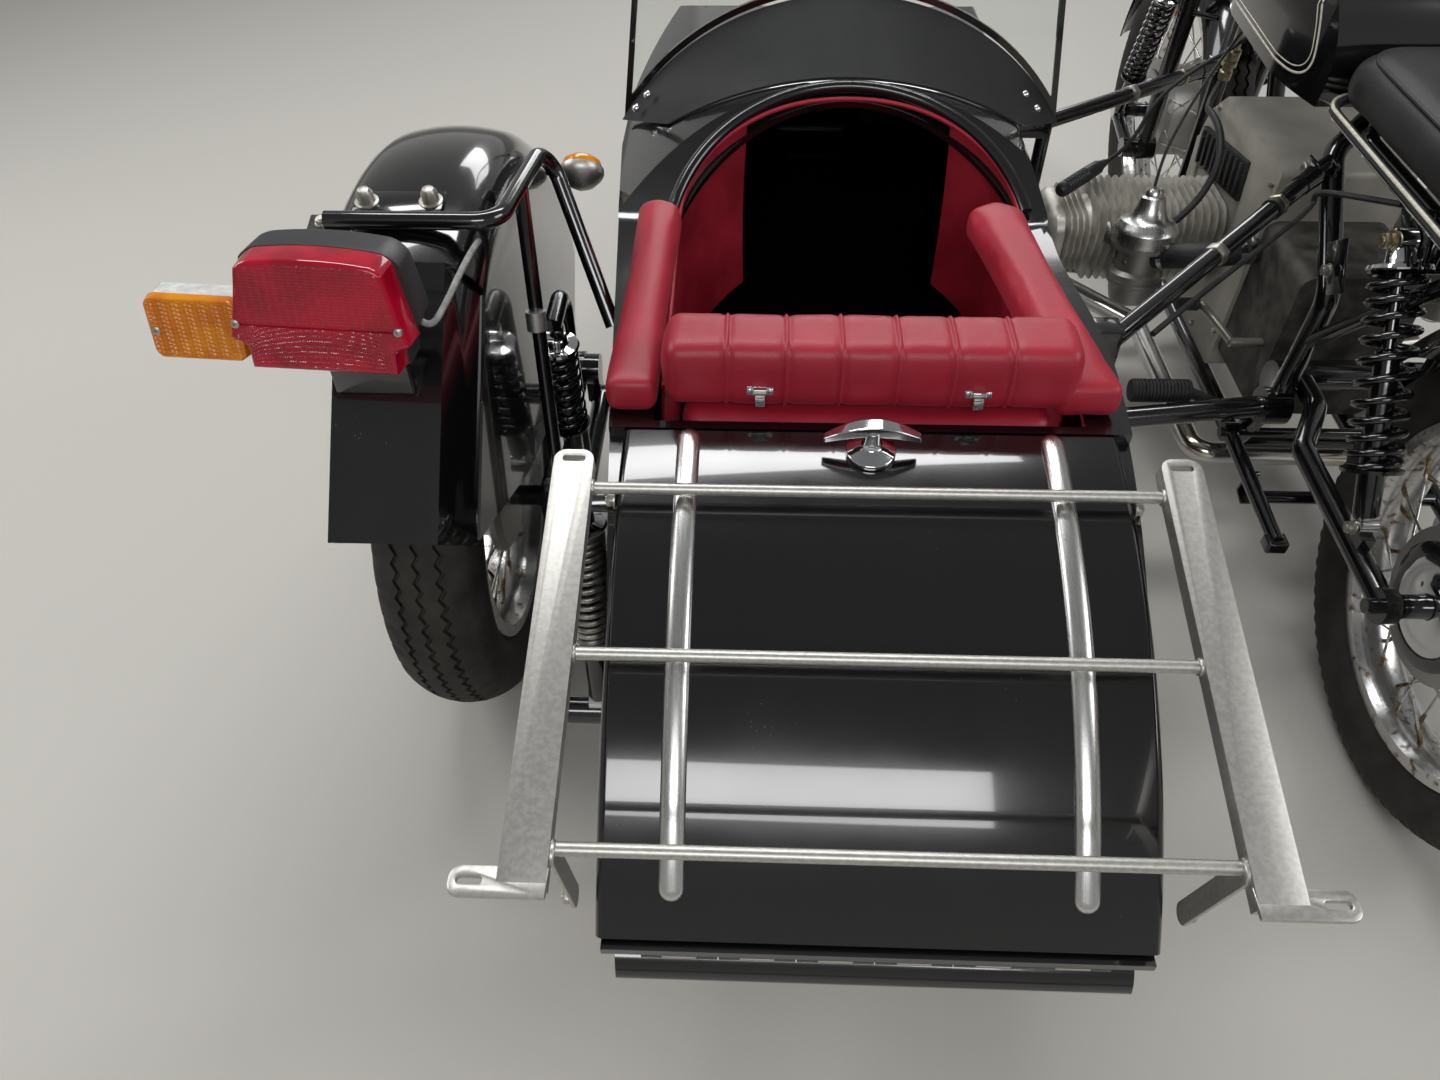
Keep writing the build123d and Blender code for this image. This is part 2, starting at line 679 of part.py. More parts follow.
with BuildPart() as sidecar_chassis:
    add(
        tube(
            [car(-CHASSIS_HALF, -340, CHASSIS_Z), car(-CHASSIS_HALF, 1250, CHASSIS_Z),
             car(CHASSIS_HALF, 1250, CHASSIS_Z), car(CHASSIS_HALF, -340, CHASSIS_Z)],
            CHASSIS_R, 120,
        )
    )
    for y in CROSS_Y:
        add(tube([car(-CHASSIS_HALF, y, CHASSIS_Z), car(CHASSIS_HALF, y, CHASSIS_Z)], CHASSIS_R - 3))
    for y in (-120.0, WHEEL_LEAD + ARM_PIVOT[0]):
        reach = SIDE_WHEEL_X + ARM_X + ARM_THICK + 4 - BODY_X
        add(tube([car(-CHASSIS_HALF, y, CHASSIS_Z), car(reach, y, CHASSIS_Z)], CHASSIS_R - 1))
    reach = SIDE_WHEEL_X + ARM_X + ARM_THICK + 22 - BODY_X
    add(
        tube([car(reach, -120, CHASSIS_Z), car(reach, WHEEL_LEAD + ARM_PIVOT[0], CHASSIS_Z)], CHASSIS_R - 3)
    )
    pivot = guard(ARM_X + ARM_THICK + 12, *ARM_PIVOT)
    add(across(pivot, 26, 2 * (12 - SEAT_GAP)))
    add(block((pivot[0] - 11, pivot[1] - 18, CHASSIS_Z), (pivot[0] + 11, pivot[1] + 18, pivot[2])))
    tower = SIDE_WHEEL_X + ARM_X + ARM_THICK + 20 - BODY_X
    tower_y = WHEEL_LEAD + 50
    add(
        tube(
            [car(tower, tower_y + 78, CHASSIS_Z), car(tower, tower_y + 78, 564),
             car(tower, tower_y - 10, 564)],
            12, 30,
        )
    )
    for x in (-CHASSIS_HALF, CHASSIS_HALF):
        for y in (-280.0, 900.0):
            add(block(car(x - 18, y - 25, CHASSIS_Z), car(x + 18, y + 25, FLOOR_Z - 0.3)))
    add(sidecar_body.part, mode=Mode.SUBTRACT)
keep("sidecar_chassis", sidecar_chassis.part)

with BuildPart() as suspension_arm:
    add(across(guard(ARM_X + ARM_THICK + 17, 71, -4), 12, 34))
    with BuildSketch(GUARD_SIDE.offset(ARM_X)):
        with BuildLine():
            Polyline((-24, -30), (ARM_PIVOT[0], ARM_PIVOT[1] - 26), (ARM_PIVOT[0], ARM_PIVOT[1] + 26),
                     (-24, 30), close=True)
        make_face()
        with Locations((0, 0), (ARM_PIVOT[0], ARM_PIVOT[1])):
            Circle(30)
    extrude(amount=ARM_THICK)
    add(across(guard(0, 0, 0), STUB_RADIUS, 2 * (ARM_X + 2)))
    add(across(guard(-ARM_X - 6, 0, 0), 20, 24))
keep("suspension_arm", suspension_arm.part)


def spring_unit(low, high, coil_r, wire, turns, body_r):
    """Telescopic damper with its coil drawn as a stack of rounded turns."""
    run = Vector(high) - Vector(low)
    coil_low = 0.32 * run.length
    coil_high = 0.9 * run.length
    pitch = (coil_high - coil_low) / turns
    cup_r = coil_r + 2
    outline = [(0, 0), (body_r, 0), (body_r, coil_low - 6), (cup_r, coil_low - 6), (cup_r, coil_low)]
    for i in range(turns):
        outline.append((coil_r - wire, coil_low + pitch * i + 0.5))
        outline.append((coil_r, coil_low + pitch * (i + 0.5)))
    outline += [
        (coil_r - wire, coil_high), (cup_r, coil_high), (cup_r, coil_high + 8),
        (body_r, coil_high + 14), (body_r, run.length), (0, run.length),
    ]
    with BuildPart() as unit:
        with BuildSketch(Plane.XZ):
            with BuildLine():
                Polyline(*outline, close=True)
            make_face()
        revolve(axis=Axis.Z)
    return unit.part.moved(Plane(origin=low, z_dir=run).location)


GUARD_AXIS = guard(0, GUARD_LEAD, 0)


def crown(inset):
    """Points across the mudguard's crown, outer edge to inner edge, at a depth in its sheet."""
    r = GUARD_RADIUS - inset
    edge = GUARD_HALF - inset
    low = GUARD_RADIUS - GUARD_DROP
    left = [(-edge, low), (12 - edge, r - 24), (-56, r - 7)]
    return left + [(0, r)] + [(-x, z) for x, z in reversed(left)]


def round_guard(angle, radius):
    """Point round the mudguard's centre, as forward and up from the sidecar's axle."""
    turn = math.radians(angle)
    return (GUARD_LEAD + radius * math.cos(turn), radius * math.sin(turn))


with BuildPart() as sidecar_mudguard:
    start = math.radians(GUARD_FRONT_ANGLE)
    section = Plane(origin=GUARD_AXIS, x_dir=(1, 0, 0), z_dir=(0, -math.sin(start), math.cos(start)))
    with BuildSketch(section):
        with BuildLine():
            outer = crown(0)
            inner = crown(GUARD_SHEET)
            for i in (0, 2, 4):
                ThreePointArc(outer[i], outer[i + 1], outer[i + 2])
                ThreePointArc(inner[i + 2], inner[i + 1], inner[i])
            Line(outer[6], inner[6])
            Line(inner[0], outer[0])
        make_face()
    revolve(axis=Axis(GUARD_AXIS, (1, 0, 0)), revolution_arc=GUARD_REAR_ANGLE - GUARD_FRONT_ANGLE)
    with BuildSketch(GUARD_SIDE.offset(GUARD_HALF - GUARD_SHEET)):
        with BuildLine():
            edge = GUARD_RADIUS - GUARD_DROP + 3
            front = round_guard(GUARD_FRONT_ANGLE, edge)
            rear = round_guard(GUARD_REAR_ANGLE, edge)
            ThreePointArc(front, round_guard((GUARD_FRONT_ANGLE + GUARD_REAR_ANGLE) / 2, edge), rear)
            Polyline(rear, (-285, 202), (-37, 83), (200, 17), (362, -5), front)
        make_face()
    extrude(amount=GUARD_SHEET)
keep("sidecar_mudguard", sidecar_mudguard.part)

with BuildPart() as mudguard_tail:
    tail_top = round_guard(GUARD_REAR_ANGLE, GUARD_RADIUS - GUARD_SHEET)
    fall = Vector(0, TAIL_END[0] - tail_top[0], TAIL_END[1] - tail_top[1])
    face = Plane(origin=guard(0, *tail_top), x_dir=(1, 0, 0), z_dir=fall)
    with BuildSketch(face):
        Rectangle(2 * TAIL_HALF, 4, align=(Align.CENTER, Align.MAX))
        with Locations((2 - TAIL_HALF, 0)):
            Rectangle(4, 30, align=(Align.CENTER, Align.MAX))
        with BuildLine():
            Polyline(
                (TAIL_HALF - 3, -4), (TAIL_HALF, 0), (GUARD_HALF, 4 - GUARD_DROP),
                (GUARD_HALF - 4, 2 - GUARD_DROP), close=True,
            )
        make_face()
    extrude(amount=fall.length)
    add(sidecar_mudguard.part, mode=Mode.SUBTRACT)
keep("mudguard_tail", mudguard_tail.part)

RAIL_R = 10.0
RAIL_Y = -60.0
RAIL_TOP = math.sqrt(GUARD_RADIUS**2 - (RAIL_Y - GUARD_LEAD) ** 2) + RAIL_R + 0.3

with BuildPart() as mudguard_rail:
    add(
        tube(
            [guard(-76, RAIL_Y, RAIL_TOP), guard(115, RAIL_Y, RAIL_TOP), guard(134, 148, RAIL_TOP - 8),
             (BODY_X - 309, REAR_AXLE_Y + 227, 576)],
            RAIL_R, 30,
        )
    )
    stay_foot = guard(ARM_X + ARM_THICK + 22, -80, CHASSIS_Z - SIDE_TYRE[0])
    add(tube([guard(124, 26, RAIL_TOP - 3), stay_foot], RAIL_R - 1))
    add(sidecar_chassis.part, mode=Mode.SUBTRACT)
    add(sidecar_body.part, mode=Mode.SUBTRACT)
    add(sidecar_mudguard.part, mode=Mode.SUBTRACT)
keep("mudguard_rail", mudguard_rail.part)

LAMP_TILT = 8.0
LAMP_WIDE = 193.0
LAMP_HIGH = 133.0
LAMP_PLACE = guard(-12, -258, 479)
INDICATOR_AT = (-146.5, -29.0)


def lamp_plane(depth):
    """Upright plane of the rear lamp, tilted back, at a depth behind its lens."""
    tilt = math.radians(LAMP_TILT)
    normal = Vector(0, -math.cos(tilt), math.sin(tilt))
    return Plane(origin=Vector(LAMP_PLACE) - normal * depth, x_dir=(1, 0, 0), z_dir=normal)


def lamp_outline():
    """Rear lamp's face: a rectangle with its lower corners cut."""
    w = LAMP_WIDE / 2
    h = LAMP_HIGH / 2
    with BuildSketch() as outline:
        with BuildLine():
            Polyline((-w, h), (-w, 26 - h), (18 - w, -h), (w - 18, -h), (w, 26 - h), (w, h), close=True)
        make_face()
        fillet(outline.vertices(), 8)
    return outline.sketch


with BuildPart() as tail_lamp:
    with BuildSketch(lamp_plane(50)):
        add(lamp_outline())
    extrude(amount=28)
    with BuildSketch(lamp_plane(40)):
        with Locations((-115, INDICATOR_AT[1])):
            Rectangle(70, 22)
    extrude(amount=9.7)
    with BuildSketch(GUARD_SIDE.offset(-52)):
        with BuildLine():
            Polyline((-204, 349.8), (-194, 359.3), (-200, 468), (-215, 468), close=True)
        make_face()
    extrude(amount=84)
    add(mudguard_tail.part, mode=Mode.SUBTRACT)
keep("tail_lamp", tail_lamp.part)

with BuildPart() as tail_lamp_lens:
    with BuildSketch(lamp_plane(22)):
        add(lamp_outline())
    extrude(amount=22, taper=6)
keep("tail_lamp_lens", tail_lamp_lens.part)

with BuildPart() as side_indicator:
    with BuildSketch(lamp_plane(30)):
        with Locations(INDICATOR_AT):
            RectangleRounded(90, 68, 8)
    extrude(amount=34, taper=4)
keep("side_indicator", side_indicator.part)

with BuildPart() as marker_lamp:
    lamp = guard(GUARD_HALF + 28, 377, 300)
    add(turned(lamp, [(-26, 0), (26, 0), (26, 20), (8, 26), (-20, 26), (-26, 20)]))
    add(tube([guard(58, 412, 300), lamp], 6))
    add(sidecar_mudguard.part, mode=Mode.SUBTRACT)
keep("marker_lamp", marker_lamp.part)

with BuildPart() as sidecar_shock:
    low = guard(ARM_X + ARM_THICK + 20, 70, 10)
    high = guard(ARM_X + ARM_THICK + 20, 50, 250)
    add(spring_unit(low, high, 27, 9, 9, 14))
keep("sidecar_shock", sidecar_shock.part)

with BuildPart() as body_spring:
    low = car(-318, -118, CHASSIS_Z + CHASSIS_R - 0.7)
    high = car(-318, -66, 548)
    add(spring_unit(low, high, 25, 8, 10, 13))
    add(block(car(-330, -78, 540), car(-WALL - 274, -54, 552)))
    add(sidecar_body.part, mode=Mode.SUBTRACT)
keep("body_spring", body_spring.part)

with BuildPart() as cockpit_trim:
    add(hull(WALL + SEAT_GAP))
    add(hull(WALL + SEAT_GAP + 4), mode=Mode.SUBTRACT)
    add(block(car(-400, 74, SEAT_Z + 30), car(400, 600, RAIL_Z - 12)), mode=Mode.INTERSECT)
    add(block(car(-235, 0, 200), car(235, 700, 800)), mode=Mode.SUBTRACT)
keep("cockpit_trim", cockpit_trim.part)

# Motorcycle frame
with BuildPart() as main_frame:
    add(tube([bike(*HEAD_LOW), bike(*HEAD_TOP)], HEAD_RADIUS))
    add(tube([bike(*BACKBONE_FRONT), bike(*BACKBONE_REAR)], BACKBONE_R))
    for side in (-1, 1):
        add(
            tube(
                [bike(side * DOWN_TUBE_TOP[0], *DOWN_TUBE_TOP[1:]),
                 bike(side * CRADLE_HALF, *DOWN_TUBE_FOOT[1:]), bike(side * CRADLE_HALF, 500, CRADLE_Z), bike(side * CRADLE_HALF, 437, 330),
                 bike(side * CRADLE_HALF, 430, 500), bike(side * 92, 600, 634), bike(side * 20, 652, 686)],
                FRAME_TUBE_R, 45,
            )
        )
    add(across(bike(*PIVOT), 12, 2 * CRADLE_HALF))
    for side in (-1, 1):
        add(across(bike(side * CRADLE_HALF, PIVOT[1] - 20, PIVOT[2]), 34, 2 * FRAME_TUBE_R - 4))
    add(across(bike(0, 500, CRADLE_Z), 12, 2 * CRADLE_HALF))
    add(across(bike(0, DOWN_TUBE_FOOT[1] - 10, CRADLE_Z + 8), 12, 2 * CRADLE_HALF))
    add(across(bike(*STAND_PIVOT), STAND_PIN_R, 310))
    bore = [bike(*along_head(HEAD_LOW, -60)), bike(*along_head(HEAD_TOP, 60))]
    add(tube(bore, STEM_R + RUN_CLEARANCE), mode=Mode.SUBTRACT)
keep("main_frame", main_frame.part)

SHOCK_X = 122.0
SHOCK_LOW = (100.0, 356.0)
SHOCK_HIGH = (290.0, 636.0)

with BuildPart() as rear_subframe:
    for side in (-1, 1):
        add(
            tube(
                [bike(side * 40, 615, 680), bike(side * 92, 520, 688), bike(side * 92, -110, 690)],
                SUBFRAME_TUBE_R, 60,
            )
        )
        add(tube([bike(side * 105, 434, 420), bike(side * 92, 200, 684)], SUBFRAME_TUBE_R))
        add(across(bike(side * 100, *SHOCK_HIGH), 9, 80))
        add(tube([bike(side * 92, 290, 640), bike(side * 92, 290, 688)], SUBFRAME_TUBE_R))
    add(across(bike(0, -108, 690), SUBFRAME_TUBE_R - 2, 184))
    add(block(bike(-84, -90, 686.8), bike(84, -70, 691)))
    add(across(REAR_AXLE, 372.2, 140), mode=Mode.SUBTRACT)
    add(main_frame.part, mode=Mode.SUBTRACT)
keep("rear_subframe", rear_subframe.part)

with BuildPart() as swing_arm:
    for side in (-1, 1):
        add(
            tube(
                [bike(side * 68, 475, 330), bike(side * 68, 395, 330), bike(side * 120, 300, 326),
                 bike(side * 120, -4, REAR_TYRE[0])],
                FRAME_TUBE_R, 50,
            )
        )
        add(across(bike(side * 120, 0, REAR_TYRE[0]), 24, 20))
        lug_low = bike(side * 120 - 9, SHOCK_LOW[0] - 16, 322)
        add(block(lug_low, bike(side * 120 + 9, SHOCK_LOW[0] + 16, SHOCK_LOW[1])))
    add(across(bike(0, 475, 330), 24, 172))
    add(across(bike(0, 475, 330), 12 + RUN_CLEARANCE, 400), mode=Mode.SUBTRACT)
    add(across(bike(0, 0, REAR_TYRE[0]), AXLE_RADIUS, 290))
    add(across(bike(-83.5, 0, REAR_TYRE[0]), 16, 38))
    add(turned(REAR_AXLE, [(66, AXLE_RADIUS - 1), (104, AXLE_RADIUS - 1), (104, 50), (92, 78), (66, 78)]))
keep("swing_arm", swing_arm.part)

with BuildPart() as rear_shocks:
    for side in (-1, 1):
        low = bike(side * SHOCK_X, SHOCK_LOW[0] + 6, SHOCK_LOW[1] + 9)
        high = bike(side * SHOCK_X, SHOCK_HIGH[0], SHOCK_HIGH[1] - 9.3)
        add(spring_unit(low, high, 30, 8, 11, 15))
    add(rear_subframe.part, mode=Mode.SUBTRACT)
keep("rear_shocks", rear_shocks.part)


def fender(centre, radius, half, depth, first, last, sheet):
    """Curved guard over a wheel, between two angles from straight ahead."""
    begin = math.radians(first)
    section = Plane(origin=centre, x_dir=(1, 0, 0), z_dir=(0, -math.sin(begin), math.cos(begin)))
    inner = radius - sheet
    with BuildPart() as guard_sheet:
        with BuildSketch(section):
            with BuildLine():
                ThreePointArc((-half, radius - depth), (0, radius), (half, radius - depth))
                Line((half, radius - depth), (half - sheet, radius - depth))
                ThreePointArc((half - sheet, radius - depth), (0, inner), (sheet - half, radius - depth))
                Line((sheet - half, radius - depth), (-half, radius - depth))
            make_face()
        revolve(axis=Axis(centre, (1, 0, 0)), revolution_arc=last - first)
    return guard_sheet.part


with BuildPart() as rear_mudguard:
    add(fender(REAR_AXLE, 372, 66, 42, 22, 172, 3))
keep("rear_mudguard", rear_mudguard.part)

with BuildPart() as bike_tail_lamp:
    add(block(bike(-45, -355, 500), bike(45, -260, 590), 8))
    add(across(REAR_AXLE, 372.3, 200), mode=Mode.SUBTRACT)
keep("bike_tail_lamp", bike_tail_lamp.part)

# Engine
with BuildPart() as engine_block:
    with BuildSketch(BIKE_SIDE):
        with BuildLine():
            Polyline(
                (ENGINE_REAR, ENGINE_LOW), (ENGINE_FRONT - 60, ENGINE_LOW),
                (ENGINE_FRONT - 14, ENGINE_LOW + 64), (ENGINE_FRONT, 440), (ENGINE_FRONT - 21, 511), (ENGINE_FRONT - 76, ENGINE_TOP),
                (ENGINE_REAR, ENGINE_TOP), close=True,
            )
        make_face()
    extrude(amount=ENGINE_HALF, both=True)
    fillet(engine_block.edges().filter_by(Axis.X), 12)
keep("engine_block", engine_block.part)

with BuildPart() as gearbox:
    add(block(bike(-98, GEARBOX_REAR, 215), bike(98, ENGINE_REAR, 476)))
    fillet(gearbox.edges().filter_by(Axis.Y), 20)
keep("gearbox", gearbox.part)

FINS = int((CYLINDER_TIP - ENGINE_HALF - 11) / FIN_PITCH) + 1
FIN_X = [ENGINE_HALF + 10 + FIN_PITCH * i for i in range(FINS)]


def head_plane(side, x):
    """Plane square to a cylinder at a distance from the machine's middle plane, facing outwards."""
    y = CYLINDER_Y - side * CYLINDER_STAGGER
    return Plane(origin=bike(side * x, y, CYLINDER_Z), x_dir=(0, 1, 0), z_dir=(side, 0, 0))


with BuildPart() as cylinders:
    for side in (-1, 1):
        with BuildSketch(head_plane(side, ENGINE_HALF)):
            Circle(52)
        extrude(amount=HEAD_TIP - 14 - ENGINE_HALF)
        for x in FIN_X:
            with BuildSketch(head_plane(side, x)):
                RectangleRounded(150, 126, 34)
            extrude(amount=FIN_THICK)
        with BuildSketch(head_plane(side, CYLINDER_TIP)):
            RectangleRounded(168, 112, 30)
        extrude(amount=HEAD_TIP - CYLINDER_TIP)
    fillet(cylinders.faces().sort_by(Axis.X)[0].edges(), 14)
    fillet(cylinders.faces().sort_by(Axis.X)[-1].edges(), 14)
keep("cylinders", cylinders.part)

with BuildPart() as carburettors:
    for side in (-1, 1):
        y = CYLINDER_Y - side * CYLINDER_STAGGER - 84
        add(tube([bike(side * 255, y - 86, 336), bike(side * 255, y - 46, 474)], 27))
        add(tube([bike(side * 300, y + 8.4, 385), bike(side * 262, y - 60, 392)], 17))
        add(tube([bike(side * 250, y - 72, 404), bike(side * 96, y - 134, 446)], 20))
    add(cylinders.part, mode=Mode.SUBTRACT)
    add(engine_block.part, mode=Mode.SUBTRACT)
    add(gearbox.part, mode=Mode.SUBTRACT)
keep("carburettors", carburettors.part)

SILENCER_X = 205.0
PORT_X = (CYLINDER_TIP + HEAD_TIP) / 2

with BuildPart() as exhaust:
    for side, low in (
        (-1, [bike(-150, 530, 118), bike(SILENCER_X, 520, 122)]),
        (1, [bike(160, 560, 118), bike(SILENCER_X, 420, 140), bike(SILENCER_X, 300, 161)]),
    ):
        y = CYLINDER_Y - side * CYLINDER_STAGGER
        add(
            tube(
                [bike(side * PORT_X, y + 84.4, 345), bike(side * PORT_X, y + 130, 345),
                 bike(side * 320, y + 104, 180), bike(side * 160, y + 40, 125), *low],
                19, 34,
            )
        )
    add(tube([bike(SILENCER_X, 330, 157.4), bike(SILENCER_X, -340, 252)], 42))
    add(tube([bike(SILENCER_X, -330, 250.6), bike(SILENCER_X, -370, 256.2)], 19))
keep("exhaust", exhaust.part)

# Tank and seat
TUNNEL_ROOF = 720.6
TUNNEL_SLOPE = (BACKBONE_FRONT[2] - 700.0) / (BACKBONE_FRONT[1] - 600.0)
TANK_HALF = 162.0

with BuildPart() as fuel_tank:
    with BuildSketch(BIKE_SIDE):
        with BuildLine():
            Line((628, 690), (1090, 716))
            ThreePointArc((1090, 716), (1140, 765), (1120, 860))
            ThreePointArc((1120, 860), (900, 912), (680, 850))
            ThreePointArc((680, 850), (636, 790), (628, 690))
        make_face()
    extrude(amount=TANK_HALF, both=True)
    with BuildSketch(Plane(origin=bike(0, 0, 0), x_dir=(1, 0, 0), z_dir=(0, -1, 0))):
        with BuildLine():
            Line((-TANK_HALF + 26, 660), (TANK_HALF - 26, 660))
            ThreePointArc((TANK_HALF - 26, 660), (TANK_HALF - 7, 670), (TANK_HALF, 692))
            ThreePointArc((TANK_HALF, 692), (TANK_HALF - 2, 780), (TANK_HALF - 40, 858))
            ThreePointArc((TANK_HALF - 40, 858), (0, 914), (40 - TANK_HALF, 858))
            ThreePointArc((40 - TANK_HALF, 858), (2 - TANK_HALF, 780), (-TANK_HALF, 692))
            ThreePointArc((-TANK_HALF, 692), (7 - TANK_HALF, 670), (-TANK_HALF + 26, 660))
        make_face()
    extrude(amount=1400, both=True, mode=Mode.INTERSECT)
    with BuildSketch(Plane(origin=bike(0, 0, 600))):
        with BuildLine():
            Line((-128, 620), (128, 620))
            ThreePointArc((128, 620), (TANK_HALF + 1, 930), (96, 1118))
            ThreePointArc((96, 1118), (0, 1146), (-96, 1118))
            ThreePointArc((-96, 1118), (-TANK_HALF - 1, 930), (-128, 620))
        make_face()
    extrude(amount=400, mode=Mode.INTERSECT)
    with BuildSketch(BIKE_SIDE):
        with BuildLine():
            Polyline(
                (560, 600), (560, TUNNEL_ROOF + (560 - 600) * TUNNEL_SLOPE),
                (1250, TUNNEL_ROOF + (1250 - 600) * TUNNEL_SLOPE), (1250, 600), close=True,
            )
        make_face()
    extrude(amount=42, both=True, mode=Mode.SUBTRACT)
keep("fuel_tank", fuel_tank.part)

with BuildPart() as bike_seat:
    add(block(bike(-136, -120, 701.4), bike(136, 620, 792), 30))
keep("bike_seat", bike_seat.part)

# Front end, all turning with the handlebar
LEG_X = 92.0
LINK_PIVOT = (WHEELBASE - 130.0, 292.0)
SPRING_TOP = (WHEELBASE - 147.0, 640.0)
YOKE_REACH = 44.0

with BuildPart() as fork:
    low = along_head(HEAD_LOW, -34)
    top = along_head(HEAD_TOP, 30)
    add(tube([bike(*low), bike(*top)], STEM_R))
    for start, first, thick in ((HEAD_LOW, -30, 24), (HEAD_TOP, 6, 18)):
        with BuildSketch(Plane(origin=bike(*along_head(start, first)), x_dir=(1, 0, 0), z_dir=HEAD_AXIS)):
            Circle(STEM_R + 8)
            with Locations((0, YOKE_REACH / 2 + 2)):
                RectangleRounded(2 * LEG_X + 44, YOKE_REACH - 4, 18)
        extrude(amount=thick)
    for side in (-1, 1):
        upper = along_head(HEAD_TOP, 26)
        lower = along_head(HEAD_LOW, -40)
        add(
            tube(
                [bike(side * LEG_X, upper[1] + 18, upper[2] + 9),
                 bike(side * LEG_X, lower[1] + 18, lower[2] + 9),
                 bike(side * LEG_X, LINK_PIVOT[0], LINK_PIVOT[1] + 8)],
                17, 60,
            )
        )
        add(across(bike(side * LEG_X, *LINK_PIVOT), 24, 40))
        add(across(bike(side * 116, *SPRING_TOP), 9, 60))
keep("fork", fork.part)

with BuildPart() as fork_links:
    for side in (-1, 1):
        add(tube([bike(side * 126, *LINK_PIVOT), bike(side * 126, WHEELBASE, FRONT_TYRE[0])], 13))
        add(across(bike(side * 126, *LINK_PIVOT), 20, 2 * (14 - SEAT_GAP)))
        add(across(bike(side * 120, WHEELBASE, FRONT_TYRE[0]), 22, 24))
        add(across(bike(side * 85, WHEELBASE, FRONT_TYRE[0]), 15, 46))
    add(across(bike(0, WHEELBASE, FRONT_TYRE[0]), AXLE_RADIUS, 270))
    add(fork.part, mode=Mode.SUBTRACT)
keep("fork_links", fork_links.part)

with BuildPart() as front_springs:
    for side in (-1, 1):
        low = bike(side * 132, WHEELBASE - 29, 326)
        high = bike(side * 132, SPRING_TOP[0], SPRING_TOP[1] - 9)
        add(spring_unit(low, high, 24, 7, 11, 11))
    add(fork.part, mode=Mode.SUBTRACT)
    add(fork_links.part, mode=Mode.SUBTRACT)
keep("front_springs", front_springs.part)

with BuildPart() as front_mudguard:
    add(fender(FRONT_AXLE, 350, 60, 38, 8, 140, 3))
    for side in (-1, 1):
        add(tube([bike(side * 46, WHEELBASE - 197, 583), bike(side * 86, WHEELBASE - 167, 583)], 5))
    add(fork.part, mode=Mode.SUBTRACT)
keep("front_mudguard", front_mudguard.part)

LAMP_AT = (HEAD_TOP[1] + 244.0, 800.0)
LAMP_R = 86.0

with BuildPart() as headlamp:
    add(tube([bike(0, *LAMP_AT), bike(0, LAMP_AT[0] - 34, LAMP_AT[1])], LAMP_R))
    with BuildSketch(Plane(origin=bike(0, LAMP_AT[0] - 34, LAMP_AT[1]), x_dir=(1, 0, 0), z_dir=(0, -1, 0))):
        Circle(LAMP_R)
    extrude(amount=70, taper=22)
    for side in (-1, 1):
        add(tube([bike(side * 80, LAMP_AT[0] - 54, 800), bike(side * LEG_X, HEAD_TOP[1] + 82, 800)], 8))
    add(fork.part, mode=Mode.SUBTRACT)
keep("headlamp", headlamp.part)

BAR_R = 11.0
GRIP = (340.0, HEAD_TOP[1] - 180.0, 1040.0)
BAR_BEND = (200.0, HEAD_TOP[1] - 130.0, 1050.0)


def along_grip(share, forward, up):
    """Point beside the handlebar's outer run, as a share of it from its bend to its end."""
    return [BAR_BEND[i] + share * (GRIP[i] - BAR_BEND[i]) + (0.0, forward, up)[i] for i in range(3)]


with BuildPart() as handlebar:
    rise = along_head(HEAD_TOP, 52)
    for side in (-1, 1):
        foot = along_head(HEAD_TOP, 24)
        add(tube([bike(side * 45, foot[1] + 14, foot[2]), bike(side * 45, rise[1] + 14, rise[2])], 12))
    add(
        tube(
            [bike(-GRIP[0], *GRIP[1:]), bike(-BAR_BEND[0], *BAR_BEND[1:]),
             bike(-110, rise[1] + 14, rise[2]),
             bike(110, rise[1] + 14, rise[2]), bike(*BAR_BEND), bike(*GRIP)],
            BAR_R, 40,
        )
    )
    add(fork.part, mode=Mode.SUBTRACT)
keep("handlebar", handlebar.part)

with BuildPart() as hand_levers:
    for side in (-1, 1):
        pivot = along_grip(0.02, 34, 0)
        middle = along_grip(0.35, 62, -4)
        tip = along_grip(0.96, 52, -8)
        add(tube([bike(side * p[0], p[1], p[2]) for p in (pivot, middle, tip)], 5, 30))
        base = along_grip(-0.04, 0, 0)
        add(tube([bike(side * base[0], base[1], base[2]), bike(side * pivot[0], pivot[1], pivot[2])], 8))
    add(handlebar.part, mode=Mode.SUBTRACT)
keep("hand_levers", hand_levers.part)

# Footrests, stand and the links to the sidecar
with BuildPart() as footrests:
    for side in (-1, 1):
        add(tube([bike(side * 108, 474, 240), bike(side * 230, 478, 292)], 9))
        add(tube([bike(side * 226, 478, 292), bike(side * 320, 478, 292)], 17))
    add(main_frame.part, mode=Mode.SUBTRACT)
keep("footrests", footrests.part)

with BuildPart() as foot_levers:
    add(tube([bike(-98.3, 560, 330), bike(-150, 560, 330)], 8))
    add(tube([bike(-146, 560, 330), bike(-160, 690, 322)], 7))
    add(tube([bike(-158, 682, 322), bike(-200, 684, 322)], 9))
    add(tube([bike(CRADLE_HALF + 10, 560, CRADLE_Z + 8), bike(150, 560, 196)], 9))
    add(tube([bike(148, 560, 192), bike(210, 700, 236)], 8, None))
    add(tube([bike(196, 694, 234), bike(252, 700, 238)], 11))
    add(gearbox.part, mode=Mode.SUBTRACT)
    add(main_frame.part, mode=Mode.SUBTRACT)
keep("foot_levers", foot_levers.part)

